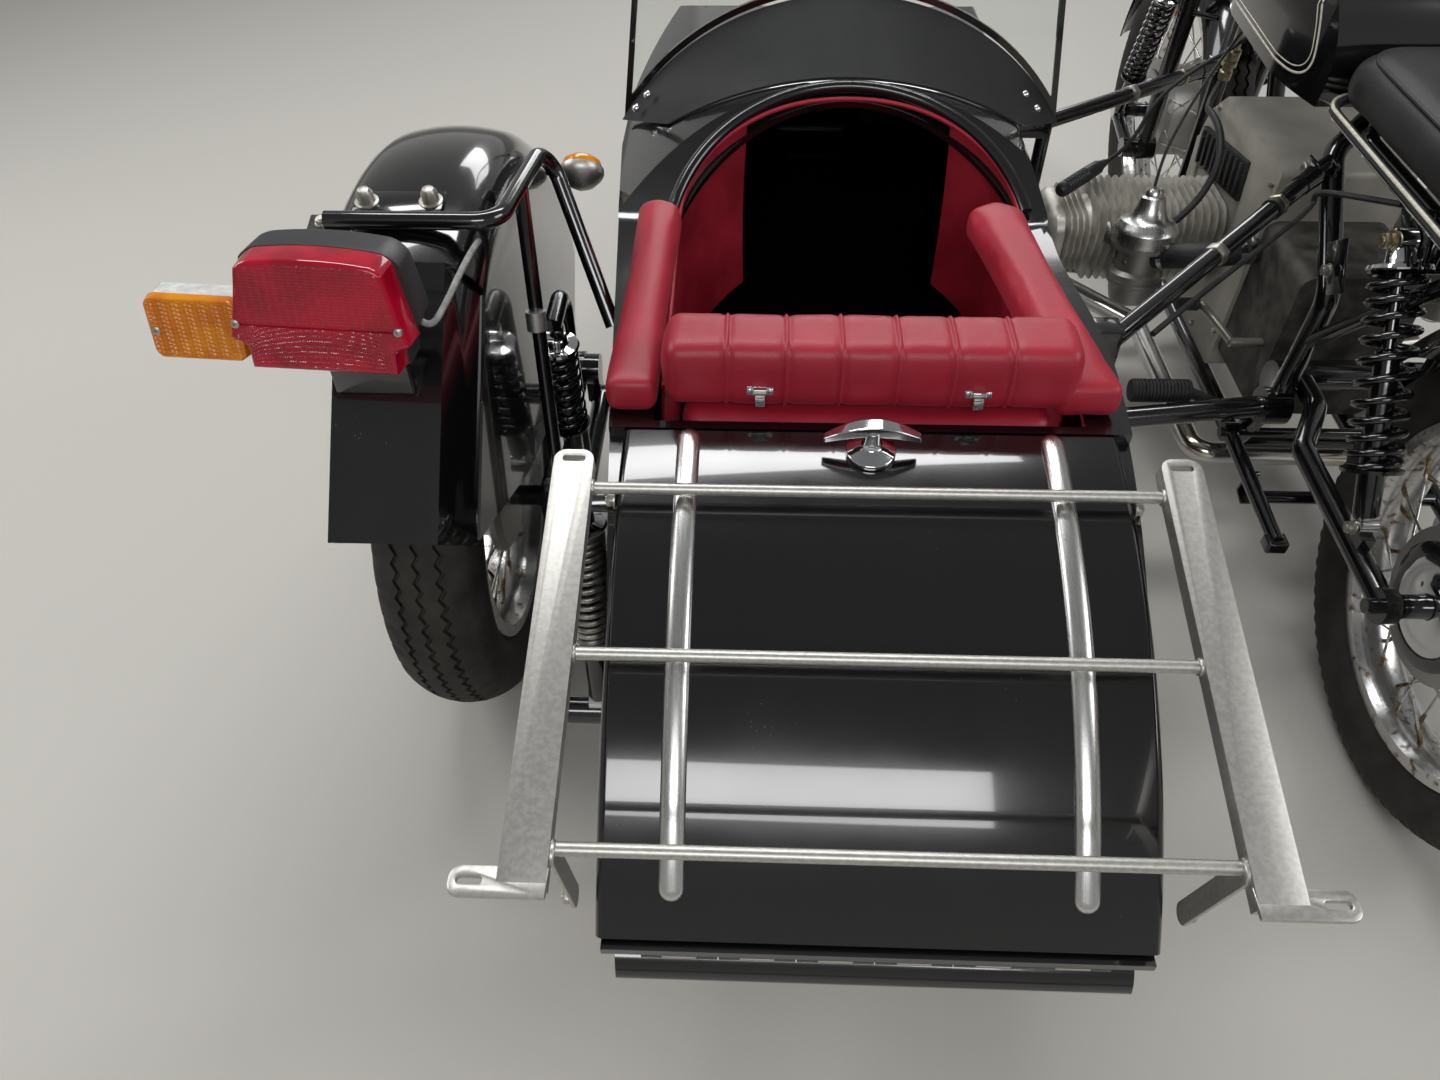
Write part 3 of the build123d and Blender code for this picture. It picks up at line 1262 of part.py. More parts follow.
with BuildPart() as centre_stand:
    for side in (-1, 1):
        add(tube([bike(side * 138, *STAND_PIVOT[1:]), bike(side * 138, 225, 205)], 12))
        add(across(bike(side * 138, *STAND_PIVOT[1:]), 16, 24))
        add(block(bike(side * 138 - 16, 214, 190), bike(side * 138 + 16, 240, 212), 4))
    add(tube([bike(-138, 320, 209), bike(138, 320, 209)], 10))
    add(across(bike(*STAND_PIVOT), STAND_PIN_R + RUN_CLEARANCE, 400), mode=Mode.SUBTRACT)
keep("centre_stand", centre_stand.part)

POST_X = 334.0


def on_down_tube(z):
    """Point on the left down tube's centre line at a height."""
    share = (DOWN_TUBE_TOP[2] - z) / (DOWN_TUBE_TOP[2] - DOWN_TUBE_FOOT[2])
    x = DOWN_TUBE_TOP[0] + share * (DOWN_TUBE_FOOT[0] - DOWN_TUBE_TOP[0])
    y = DOWN_TUBE_TOP[1] + share * (DOWN_TUBE_FOOT[1] - DOWN_TUBE_TOP[1])
    return (-x, y, z)


# post's place on the sidecar, then the strut's end on the motorcycle's frame
UPPER_STRUTS = [(POST_X, 248.0, (-100.0, 585.0, 627.0)), (POST_X + 28, 880.0, on_down_tube(540.0))]

with BuildPart() as upper_struts:
    for x, y, end in UPPER_STRUTS:
        add(tube([car(CHASSIS_HALF, y, CHASSIS_Z), car(x, y, CHASSIS_Z), car(x, y, 566)], 12, 36))
        add(tube([car(x, y, 552), bike(*end)], 13))
    add(main_frame.part, mode=Mode.SUBTRACT)
    add(sidecar_chassis.part, mode=Mode.SUBTRACT)
keep("upper_struts", upper_struts.part)

FRONT_MOUNT_Y = DOWN_TUBE_FOOT[1] - 18.0

with BuildPart() as lower_mounts:
    add(tube([car(CHASSIS_HALF, 445, CHASSIS_Z), bike(-108, 440, 296)], 17))
    add(tube([car(CHASSIS_HALF, FRONT_MOUNT_Y, CHASSIS_Z), bike(-108, FRONT_MOUNT_Y, CRADLE_Z + 3)], 17))
    add(across(bike(-CRADLE_HALF - 3, 440, 296), 30, 40))
    add(across(bike(-CRADLE_HALF, FRONT_MOUNT_Y, CRADLE_Z + 3), 28, 46))
    add(main_frame.part, mode=Mode.SUBTRACT)
    add(sidecar_chassis.part, mode=Mode.SUBTRACT)
    add(engine_block.part, mode=Mode.SUBTRACT)
keep("lower_mounts", lower_mounts.part)
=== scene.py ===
import json
import math

import bmesh
import bpy
from mathutils import Matrix, Vector
from mathutils.bvhtree import BVHTree

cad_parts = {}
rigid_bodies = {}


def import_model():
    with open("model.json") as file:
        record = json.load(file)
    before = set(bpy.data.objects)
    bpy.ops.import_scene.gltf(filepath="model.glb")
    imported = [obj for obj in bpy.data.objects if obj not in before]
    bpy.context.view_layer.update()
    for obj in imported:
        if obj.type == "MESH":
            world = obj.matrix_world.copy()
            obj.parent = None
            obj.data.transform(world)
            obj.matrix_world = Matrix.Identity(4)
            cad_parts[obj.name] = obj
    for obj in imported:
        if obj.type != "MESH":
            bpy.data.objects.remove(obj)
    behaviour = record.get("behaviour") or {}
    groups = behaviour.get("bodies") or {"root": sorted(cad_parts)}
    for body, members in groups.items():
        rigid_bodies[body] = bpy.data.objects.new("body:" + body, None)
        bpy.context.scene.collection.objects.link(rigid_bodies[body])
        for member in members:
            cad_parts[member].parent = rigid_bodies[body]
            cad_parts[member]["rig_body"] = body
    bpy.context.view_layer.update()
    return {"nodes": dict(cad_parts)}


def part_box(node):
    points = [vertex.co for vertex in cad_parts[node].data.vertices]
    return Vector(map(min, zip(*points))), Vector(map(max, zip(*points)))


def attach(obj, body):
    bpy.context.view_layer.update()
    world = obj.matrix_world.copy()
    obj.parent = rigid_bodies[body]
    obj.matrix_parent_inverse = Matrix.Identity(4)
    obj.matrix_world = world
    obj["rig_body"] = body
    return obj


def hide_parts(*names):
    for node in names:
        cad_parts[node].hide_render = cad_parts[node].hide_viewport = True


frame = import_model()
bpy.ops.object.select_all(action="DESELECT")

# Camera and studio. The outfit is seen from above and behind the sidecar, on a pale floor under soft
# lamps. Places are metres from the ground below the outfit's middle; +Y is forward, +X to the right.
BIKE_X = 0.55675
AXLE_Y = -0.6498
BODY_X = BIKE_X - 0.8
SIDE_WHEEL_X = BIKE_X - 1.325
CAMERA_YAW = math.radians(2.5)
CAMERA_DOWN = math.radians(46.1)
CAMERA_ROLL = math.radians(0.7)
SENSOR_MM, FOCAL_PIXELS, PHOTO_PIXELS = 36, 1047, 1440
SIDES = ((-1, "left"), (1, "right"))
bpy.ops.object.camera_add(location=(BIKE_X - 0.927, AXLE_Y - 0.893, 1.350))
camera = bpy.context.object
camera.rotation_euler = (
    Matrix.Rotation(CAMERA_YAW, 3, "Z")
    @ Matrix.Rotation(math.pi / 2 - CAMERA_DOWN, 3, "X")
    @ Matrix.Rotation(-CAMERA_ROLL, 3, "Z")
).to_euler()
camera.data.sensor_width = SENSOR_MM
camera.data.lens = SENSOR_MM * FOCAL_PIXELS / PHOTO_PIXELS
camera.data.clip_end = 60
bpy.context.scene.camera = camera
bpy.context.scene.view_settings.view_transform = "Standard"


def srgb(code, alpha=1.0):
    """Linear colour of an sRGB hex value."""
    parts = [int(code[i : i + 2], 16) / 255 for i in (0, 2, 4)]
    return [p / 12.92 if p <= 0.04045 else ((p + 0.055) / 1.055) ** 2.4 for p in parts] + [alpha]


def node(material, kind, links=(), **settings):
    """Adds a node with its settings and links. A setting named as a socket fills that socket."""
    made = material.node_tree.nodes.new(kind)
    for name, value in settings.items():
        if hasattr(made, name):
            setattr(made, name, value)
        else:
            index = int(name[1:]) if name[0] == "i" and name[1:].isdigit() else name.replace("_", " ")
            made.inputs[index].default_value = value
    for socket, source in dict(links).items():
        material.node_tree.links.new(source, made.inputs[socket])
    return made


world = bpy.data.worlds.new("studio")
bpy.context.scene.world = world
world.use_nodes = True
world.node_tree.nodes.clear()
path = node(world, "ShaderNodeLightPath")
where = node(world, "ShaderNodeTexCoord")
split = node(world, "ShaderNodeSeparateXYZ", {0: where.outputs["Generated"]})
band = node(world, "ShaderNodeMapRange", {"Value": split.outputs["Z"]}, From_Min=-0.1, From_Max=0.9)
sky = node(world, "ShaderNodeMix", {"Factor": band.outputs["Result"]}, data_type="RGBA")
sky.inputs[6].default_value = srgb("c9c8c5")
sky.inputs[7].default_value = srgb("8f9090")
seen = node(world, "ShaderNodeMix", {"Factor": path.outputs["Is Camera Ray"], 6: sky.outputs[2]},
            data_type="RGBA")
seen.inputs[7].default_value = srgb("d9d8d5")
glow = node(world, "ShaderNodeBackground", {"Color": seen.outputs[2]}, Strength=0.62)
node(world, "ShaderNodeOutputWorld", {"Surface": glow.outputs[0]})

# place, size and power of each soft lamp, and the point it faces
LAMPS = [
    ("lamp_over", (-0.5, 0.9, 3.1), (2.6, 0.5), 46, (-0.2, -0.3, 0.4)),
    ("lamp_left", (-3.1, 0.3, 2.3), (1.6, 1.6), 34, (-0.3, -0.2, 0.4)),
    ("lamp_right", (3.0, -1.2, 2.6), (1.8, 1.4), 40, (0.3, 0.0, 0.5)),
    ("lamp_rear", (-0.3, -3.6, 3.0), (2.2, 0.8), 44, (-0.2, -0.4, 0.4)),
    ("lamp_front", (0.2, 3.9, 2.4), (2.4, 1.2), 40, (0.2, 0.6, 0.5)),
]
for name, place, size, power, aim in LAMPS:
    bpy.ops.object.light_add(type="AREA", location=place)
    lamp = bpy.context.object
    lamp.name = name
    lamp.data.shape = "RECTANGLE"
    lamp.data.size, lamp.data.size_y = size
    lamp.data.energy = power
    lamp.rotation_euler = (Vector(aim) - Vector(place)).to_track_quat("-Z", "Y").to_euler()

bpy.ops.mesh.primitive_plane_add(size=60)
floor = bpy.context.object
floor.name = "floor"
floor_paint = bpy.data.materials.new("pale_floor")
floor_paint.use_nodes = True
floor_shader = floor_paint.node_tree.nodes["Principled BSDF"]
floor_shader.inputs["Base Color"].default_value = srgb("c4c1bb")
floor_shader.inputs["Roughness"].default_value = 0.55
floor_shader.inputs["Specular IOR Level"].default_value = 0.3
floor.data.materials.append(floor_paint)

# Sidecar body. A steel shell, pressed and welded, sprayed black and polished: it shows a deep gloss with
# the faint ripple of sprayed enamel, and a little dust that has settled on what faces up.


def finish(name, code, rough, metal=0.0, coat=0.0):
    """New material with one shader, from its sRGB hex colour, roughness and metallic."""
    material = bpy.data.materials.new(name)
    material.use_nodes = True
    shader = shader_of(material)
    shader.inputs["Base Color"].default_value = srgb(code)
    shader.inputs["Roughness"].default_value = rough
    shader.inputs["Metallic"].default_value = metal
    shader.inputs["Coat Weight"].default_value = coat
    shader.inputs["Coat Roughness"].default_value = 0.04
    return material, shader


def shader_of(material):
    """The one shader of a material."""
    return material.node_tree.nodes["Principled BSDF"]


def wire(material, source, shader, socket):
    """Joins a node's output to a socket of the shader."""
    material.node_tree.links.new(source, shader.inputs[socket])


def grain(material, shader, size_mm, strength, detail=3.0, stretch=(1, 1, 1), depth_mm=0.3):
    """Noise bump whose lumps are about size_mm across, on Object coordinates."""
    place = node(material, "ShaderNodeTexCoord")
    turn = node(material, "ShaderNodeMapping", {0: place.outputs["Object"]}, Scale=stretch)
    lumps = node(material, "ShaderNodeTexNoise", {"Vector": turn.outputs[0]}, Scale=1000 / size_mm,
                 Detail=detail)
    bump = node(material, "ShaderNodeBump", {"Height": lumps.outputs[0]}, Strength=strength,
                Distance=depth_mm / 1000)
    wire(material, bump.outputs[0], shader, "Normal")
    return lumps


def mottle(material, shader, dark, light, size_mm, low=0.35, high=0.65, stretch=(1, 1, 1), detail=5.0):
    """Base colour that drifts between two sRGB values in patches about size_mm across."""
    place = node(material, "ShaderNodeTexCoord")
    turn = node(material, "ShaderNodeMapping", {0: place.outputs["Object"]}, Scale=stretch)
    patches = node(material, "ShaderNodeTexNoise", {"Vector": turn.outputs[0]}, Scale=1000 / size_mm,
                   Detail=detail)
    ramp = node(material, "ShaderNodeValToRGB", {0: patches.outputs[0]})
    ramp.color_ramp.elements[0].position, ramp.color_ramp.elements[1].position = low, high
    ramp.color_ramp.elements[0].color, ramp.color_ramp.elements[1].color = srgb(dark), srgb(light)
    wire(material, ramp.outputs[0], shader, "Base Color")
    return patches


def haze(material, shader, source, low, high):
    """Roughness that follows a pattern between two values."""
    spread = node(material, "ShaderNodeMapRange", {"Value": source.outputs[0]}, To_Min=low, To_Max=high)
    wire(material, spread.outputs[0], shader, "Roughness")


def weathered(name, code, rough, shades, size_mm, roughs, metal=0.0, coat=0.0, spread=(0.35, 0.65)):
    """New material whose colour drifts between two shades, with a roughness that follows it."""
    material, shader = finish(name, code, rough, metal, coat)
    haze(material, shader, mottle(material, shader, *shades, size_mm, *spread), *roughs)
    return material


def grained(name, code, rough, size_mm, strength, depth_mm, roughs, metal=0.0, coat=0.0, **pattern):
    """New material with a fine noise bump, and a roughness that follows it between two values."""
    material, shader = finish(name, code, rough, metal, coat)
    haze(material, shader, grain(material, shader, size_mm, strength, depth_mm=depth_mm, **pattern), *roughs)
    return material


black_enamel, shader = finish("black_enamel", "0b0b0c", 0.16, coat=1.0)
grain(black_enamel, shader, 6, 0.06, 2.0, depth_mm=0.12)
place = node(black_enamel, "ShaderNodeTexCoord")
specks = node(black_enamel, "ShaderNodeTexVoronoi", {"Vector": place.outputs["Object"]}, Scale=130)
dots = node(black_enamel, "ShaderNodeMapRange", {"Value": specks.outputs["Distance"]}, From_Min=0.05,
            From_Max=0.1, To_Min=1.0, To_Max=0.0)
patch = node(black_enamel, "ShaderNodeTexNoise", {"Vector": place.outputs["Object"]}, Scale=9, Detail=6)
dusty = node(black_enamel, "ShaderNodeMapRange", {"Value": patch.outputs[0]}, From_Min=0.55, From_Max=0.75)
up = node(black_enamel, "ShaderNodeNewGeometry")
tip = node(black_enamel, "ShaderNodeSeparateXYZ", {0: up.outputs["Normal"]})
lying = node(black_enamel, "ShaderNodeMath", {0: tip.outputs["Z"], 1: dusty.outputs[0]}, operation="MULTIPLY",
             use_clamp=True)
amount = node(black_enamel, "ShaderNodeMath", {0: dots.outputs[0], 1: lying.outputs[0]}, operation="MULTIPLY",
              use_clamp=True)
enamel_colour = node(black_enamel, "ShaderNodeMix", {"Factor": amount.outputs[0]}, data_type="RGBA")
enamel_colour.inputs[6].default_value = srgb("0b0b0c")
enamel_colour.inputs[7].default_value = srgb("8d8a85")
wire(black_enamel, enamel_colour.outputs[2], shader, "Base Color")
haze(black_enamel, shader, patch, 0.10, 0.24)


def alone(*pieces):
    """Selects these pieces and nothing else, the first of them as the active one."""
    bpy.ops.object.select_all(action="DESELECT")
    for piece in pieces:
        piece.select_set(True)
    bpy.context.view_layer.objects.active = pieces[0]


def start(kind, name, **settings):
    """Adds the primitive that a piece is shaped from, under the piece's name."""
    getattr(bpy.ops.mesh, f"primitive_{kind}_add")(**settings)
    bpy.context.object.name = name
    return bpy.context.object


def brick(size, place=(0, 0, 0), turn=(0, 0, 0)):
    """Block of a size at a place, used as a start for cast and bent pieces."""
    piece = start("cube", "brick", size=1, location=place, rotation=turn)
    piece.scale = size
    bpy.ops.object.transform_apply()
    return piece


def modify(piece, kind, **settings):
    """Adds a modifier with its settings to a piece and applies it."""
    bpy.context.view_layer.objects.active = piece
    made = piece.modifiers.new(kind.lower(), kind)
    for name, value in settings.items():
        setattr(made, name, value)
    bpy.context.view_layer.update()
    bpy.ops.object.modifier_apply(modifier=made.name)


def soften(piece, width, segments=1, angle=None):
    """Bevels the edges that are sharper than an angle: Blender's own 30 degrees if none is given."""
    limit = {"limit_method": "ANGLE", "angle_limit": math.radians(angle)} if angle else {}
    modify(piece, "BEVEL", width=width, segments=segments, **limit)


def edit_faces(piece, facing):
    """Enters edit mode with the faces selected that look up, or down where facing is -1."""
    bpy.ops.object.mode_set(mode="EDIT")
    bpy.ops.mesh.select_all(action="DESELECT")
    bpy.ops.object.mode_set(mode="OBJECT")
    for face in piece.data.polygons:
        face.select = face.normal.z * facing > 0.9
    bpy.ops.object.mode_set(mode="EDIT")


def object_of(name, mesh):
    """Object of the scene from a mesh under construction, with its faces outwards."""
    bmesh.ops.recalc_face_normals(mesh, faces=mesh.faces)
    data = bpy.data.meshes.new(name)
    mesh.to_mesh(data)
    mesh.free()
    piece = bpy.data.objects.new(name, data)
    bpy.context.scene.collection.objects.link(piece)
    return piece


def skin(mesh, rings, closed=True, ends=True):
    """Faces between neighbouring rows of points, closed round them or not, and over both ends."""
    for here, there in zip(rings, rings[1:]):
        for i in range(len(here) if closed else len(here) - 1):
            j = (i + 1) % len(here)
            mesh.faces.new((here[i], here[j], there[j], there[i]))
    if ends:
        mesh.faces.new(rings[0])
        mesh.faces.new(rings[-1])


def in_place(piece, body, material, angle=None):
    """Fixes a finished piece's place in its mesh, with its material and body, and smooths it up to an angle."""
    alone(piece)
    bpy.ops.object.transform_apply()
    piece.data.materials.clear()
    piece.data.materials.append(material)
    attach(piece, body)
    if angle == 180:
        bpy.ops.object.shade_smooth()
    elif angle:
        bpy.ops.object.shade_smooth_by_angle(angle=math.radians(angle))
    return piece


def smoothed(node_name, name, material, angle=32):
    """Copy of a CAD piece with its triangles joined and its round faces smooth. It stands for the piece."""
    source = frame["nodes"][node_name]
    piece = bpy.data.objects.new(name, source.data.copy())
    bpy.context.scene.collection.objects.link(piece)
    mesh = bmesh.new()
    mesh.from_mesh(piece.data)
    bmesh.ops.remove_doubles(mesh, verts=mesh.verts, dist=1e-6)
    mesh.to_mesh(piece.data)
    mesh.free()
    if piece.data.has_custom_normals:
        bpy.context.view_layer.objects.active = piece
        bpy.ops.mesh.customdata_custom_splitnormals_clear()
    in_place(piece, source["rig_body"], material, angle=angle)
    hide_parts(node_name)
    return piece


body_shell = smoothed("sidecar_body", "body_shell", black_enamel)
# The side towards the motorcycle is flatter than the outer one, from the seat forwards.
FLAT_HALF, FLAT_KEEP = 0.258, 0.3
FLAT_REAR, FLAT_GROWTH = 0.10, 0.30


def flattened(verts, inset=0.0):
    """Brings what bulges towards the motorcycle in, growing over 0.3 m from the seat forwards."""
    for vert in verts:
        over = vert.co.x - BODY_X - FLAT_HALF + inset
        share = min(1.0, max(0.0, (vert.co.y - AXLE_Y - FLAT_REAR) / FLAT_GROWTH))
        if over > 0:
            vert.co.x -= over * (1 - FLAT_KEEP) * share * share * (3 - 2 * share)


mesh = bmesh.new()
mesh.from_mesh(body_shell.data)
# long edges are halved step by step, so that the flattening has points to move
for longest in (0.2, 0.1, 0.05):
    long_edges = [e
                  for e in mesh.edges if e.calc_length() > longest and max(v.co.x
                                                                           for v in e.verts) > BODY_X + 0.2]
    bmesh.ops.subdivide_edges(mesh, edges=long_edges, cuts=1)
    bmesh.ops.triangulate(mesh, faces=[f for f in mesh.faces if len(f.verts) > 3])
flattened(mesh.verts)
mesh.to_mesh(body_shell.data)
mesh.free()
alone(body_shell)
bpy.ops.object.shade_smooth_by_angle(angle=math.radians(32))

# Boot lid. One pressed and rolled steel sheet with a turned lip, sprayed black. It hangs on a piano hinge
# of plated steel, whose leaves show as bright dashes below the lip.
smoothed("boot_lid", "lid_shell", black_enamel)
smoothed("boot_hinge", "hinge_leaf", black_enamel)

zinc_plate = grained("zinc_plate", "b9b6ae", 0.38, 1.5, 0.15, 0.05, (0.3, 0.5), metal=1.0)

HINGE_Y = AXLE_Y - 0.474
HINGE_Z = 0.330
DASHES, DASH_STEP = 6, 0.076
dashes = [
    brick((0.034, 0.0022, 0.0035), (BODY_X + (i - 2.5) * DASH_STEP, HINGE_Y - 0.0065, HINGE_Z + 0.0045))
    for i in range(DASHES)
]
alone(*dashes)
bpy.ops.object.join()
leaves = bpy.context.object
leaves.name = "hinge_dashes"
soften(leaves, 0.0006)
in_place(leaves, "boot_lid_set", zinc_plate)

# Lid strips. Two half-round aluminium rubbing strips with rounded ends, screwed down from inside. They were
# polished along their length, so the light breaks into fine lengthwise streaks.
CREST = ((-0.462, 0.345), (-0.260, 0.508), (0.002, 0.584))


def circle_through(first, middle, last):
    """Centre and radius of the circle through three places of a plane."""
    (ax, ay), (bx, by), (cx, cy) = first, middle, last
    twice = 2 * (ax * (by - cy) + bx * (cy - ay) + cx * (ay - by))
    a2, b2, c2 = ax * ax + ay * ay, bx * bx + by * by, cx * cx + cy * cy
    ox = (a2 * (by - cy) + b2 * (cy - ay) + c2 * (ay - by)) / twice
    oy = (a2 * (cx - bx) + b2 * (ax - cx) + c2 * (bx - ax)) / twice
    return ox, oy, math.hypot(ax - ox, ay - oy)


CREST_Y, CREST_Z, CREST_R = circle_through(*CREST)
LID_RISE = 0.015


def on_lid(x, run, lift=0.0):
    """Point on the lid's outside: run is measured down the arc from the lid's front edge."""
    front = math.atan2(CREST_Y + 0.002, CREST[-1][1] - CREST_Z)
    angle = front + run / (CREST_R + LID_RISE)
    r = CREST_R + LID_RISE + lift
    return Vector((BODY_X + x, AXLE_Y + CREST_Y - r * math.sin(angle), CREST_Z + r * math.cos(angle)))


polished_strip, shader = finish("polished_aluminium", "d6d6d4", 0.26, metal=1.0)
streaks = grain(polished_strip, shader, 1.2, 0.25, 4.0, stretch=(1, 0.04, 0.04), depth_mm=0.06)
haze(polished_strip, shader, streaks, 0.2, 0.36)

STRIP_LONG, STRIP_R = 0.505, 0.0125
for side, word in SIDES:
    strip = start("uv_sphere", f"strip_{word}", segments=24, ring_count=16, radius=STRIP_R,
                  rotation=(math.pi / 2, 0, 0))
    bpy.ops.object.transform_apply()
    bpy.ops.object.mode_set(mode="EDIT")
    bpy.ops.mesh.select_all(action="SELECT")
    bpy.ops.mesh.bisect(plane_co=(0, 0, 0), plane_no=(0, 0, 1), clear_inner=True, use_fill=True)
    bpy.ops.object.mode_set(mode="OBJECT")
    mesh = bmesh.new()
    mesh.from_mesh(strip.data)
    everything = mesh.verts[:] + mesh.edges[:] + mesh.faces[:]
    bmesh.ops.bisect_plane(mesh, geom=everything, plane_co=(0, 0, 0), plane_no=(0, 1, 0))
    for vert in mesh.verts:
        vert.co.z *= 0.6
    middle = [e for e in mesh.edges if abs(e.verts[0].co.y) < 1e-6 and abs(e.verts[1].co.y) < 1e-6]
    bmesh.ops.split_edges(mesh, edges=middle)
    for face in mesh.faces:
        ahead = face.calc_center_median().y > 0
        for vert in face.verts:
            vert.tag = ahead
    for vert in mesh.verts:
        vert.co.y += (STRIP_LONG / 2 - STRIP_R) * (1 if vert.tag else -1)
    bmesh.ops.bridge_loops(mesh, edges=[e for e in mesh.edges if e.is_boundary])
    across = [e for e in mesh.edges if abs(e.verts[0].co.y - e.verts[1].co.y) > 0.1]
    bmesh.ops.subdivide_edges(mesh, edges=across, cuts=48, use_grid_fill=False)
    for vert in mesh.verts:
        vert.co = on_lid(side * 0.198 + vert.co.x, 0.252 - vert.co.y, vert.co.z + 0.0002)
    bmesh.ops.recalc_face_normals(mesh, faces=mesh.faces)
    mesh.to_mesh(strip.data)
    mesh.free()
    in_place(strip, "boot_lid_set", polished_strip, angle=50)
    if side < 0:
        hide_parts("lid_strips")

# Boot handle. A die-cast zinc T handle, chrome plated: a curved grip on a short neck and a stepped round
# rose. The plating shows hard bright reflections.
chrome, _ = finish("chrome_plate", "dfe0e2", 0.07, metal=1.0)
HANDLE = on_lid(0, 0.029)
HANDLE_TILT = math.radians(6)
rose = start("cylinder", "handle_rose", vertices=48, radius=0.027, depth=0.006, location=(0, 0, 0.003))
bpy.ops.object.transform_apply()
edit_faces(rose, 1)
# ring radius, then height, going up the neck
for radius, height in ((0.0215, 0.0085), (0.019, 0.0105), (0.0115, 0.0135), (0.0085, 0.019), (0.0078, 0.034)):
    bpy.ops.mesh.extrude_region_move(TRANSFORM_OT_translate={"value": (0, 0, 0.001)})
    rose.update_from_editmode()
    top = [v.co for v in rose.data.vertices if v.select]
    now_r = max(math.hypot(c.x, c.y) for c in top)
    now_z = max(c.z for c in top)
    bpy.ops.transform.resize(value=(radius / now_r, radius / now_r, 1), center_override=(0, 0, now_z))
    bpy.ops.transform.translate(value=(0, 0, height - now_z))
bpy.ops.object.mode_set(mode="OBJECT")
soften(rose, 0.0009, 3, 30)
rose.location = HANDLE
rose.rotation_euler = (HANDLE_TILT, 0, 0)
in_place(rose, "boot_lid_set", chrome, angle=40)

GRIP_LONG = 0.104
grip = brick((GRIP_LONG, 0.016, 0.014))
grip.name = "handle_grip"
bpy.ops.object.mode_set(mode="EDIT")
bpy.ops.mesh.select_all(action="SELECT")
bpy.ops.mesh.subdivide(number_cuts=6)
bpy.ops.object.mode_set(mode="OBJECT")
for vert in grip.data.vertices:
    share = abs(vert.co.x) / (GRIP_LONG / 2)
    vert.co.y *= 1.0 - 0.45 * share**2
    vert.co.z *= 1.0 - 0.5 * share**2
    vert.co.z -= 0.016 * share**1.8
    vert.co.y += 0.004 * share * (1 if vert.co.x > 0 else -1)
modify(grip, "SUBSURF", levels=2)
grip.location = HANDLE + Vector((0, -0.001, 0.036))
grip.rotation_euler = (HANDLE_TILT, 0, math.radians(-4))
in_place(grip, "boot_lid_set", chrome, angle=180)
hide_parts("boot_handle")

# Luggage rack. Two channel bars of aluminium with looped ends for a strap, and three round rods riveted
# between them. The satin metal is scratched by luggage and has gone grey in patches.
satin_bar, shader = finish("satin_aluminium", "c6c5c0", 0.42, metal=1.0)
grain(satin_bar, shader, 1.6, 0.12, 4.0, stretch=(1, 0.25, 0.25), depth_mm=0.08)
clouds = mottle(satin_bar, shader, "bdbbb6", "c8c7c2", 5, 0.4, 0.6)
haze(satin_bar, shader, clouds, 0.40, 0.46)

RACK_TOP = Vector((0, AXLE_Y - 0.062, 0.611))
RACK_LOW = Vector((0, AXLE_Y - 0.500, 0.509))
RACK_LONG = (RACK_LOW - RACK_TOP).length
RACK_TILT = math.atan2(RACK_TOP.z - RACK_LOW.z, RACK_TOP.y - RACK_LOW.y)


def rack_place(x, run, lift=0.0):
    """Point on the rack, run metres down from its top end, lifted square to its bars."""
    along = (RACK_LOW - RACK_TOP).normalized()
    square = Vector((0, -math.sin(RACK_TILT), math.cos(RACK_TILT)))
    return RACK_TOP + Vector((BODY_X + x, 0, 0)) + along * run + square * lift


def strap_slot(piece, long, wide, x, y):
    """Cuts a rounded slot for a strap through a piece: long along X."""
    cutter = start("cylinder", "cutter", vertices=24, radius=wide / 2, depth=0.06)
    for vert in cutter.data.vertices:
        vert.co.x += (long - wide) / 2 * (1 if vert.co.x > 1e-7 else -1 if vert.co.x < -1e-7 else 0)
    cutter.location = (x, y, 0)
    modify(piece, "BOOLEAN", object=cutter, solver="EXACT")
    bpy.data.objects.remove(cutter)


def round_corners(piece, chosen, radius, segments):
    """Rounds those upright edges of a block whose place (x, y) is chosen."""
    mesh = bmesh.new()
    mesh.from_mesh(piece.data)
    upright = [e for e in mesh.edges if (e.verts[0].co - e.verts[1].co).xy.length < 1e-6]
    corners = [e for e in upright if chosen(*e.verts[0].co.xy)]
    bmesh.ops.bevel(mesh, geom=corners, offset=radius, segments=segments, affect="EDGES", profile=0.5)
    mesh.to_mesh(piece.data)
    mesh.free()


for side, word in SIDES:
    bar = brick((0.042, RACK_LONG, 0.0185))
    bar.name = f"rack_bar_{word}"
    edit_faces(bar, -1)
    bpy.ops.mesh.inset(thickness=0.0035)
    bpy.ops.mesh.extrude_region_move(TRANSFORM_OT_translate={"value": (0, 0, 0.0148)})
    bpy.ops.object.mode_set(mode="OBJECT")
    round_corners(bar, lambda x, y: y > 0 and abs(x) > 0.02, 0.013, 8)
    strap_slot(bar, 0.024, 0.0075, 0, RACK_LONG / 2 - 0.0115)
    soften(bar, 0.0022, 3, 40)
    bar.rotation_euler = (RACK_TILT, 0, 0)
    bar.location = rack_place(side * 0.315, RACK_LONG / 2, 0.0022)
    in_place(bar, "boot_lid_set", satin_bar, angle=35)
    if side < 0:
        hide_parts("luggage_rack")

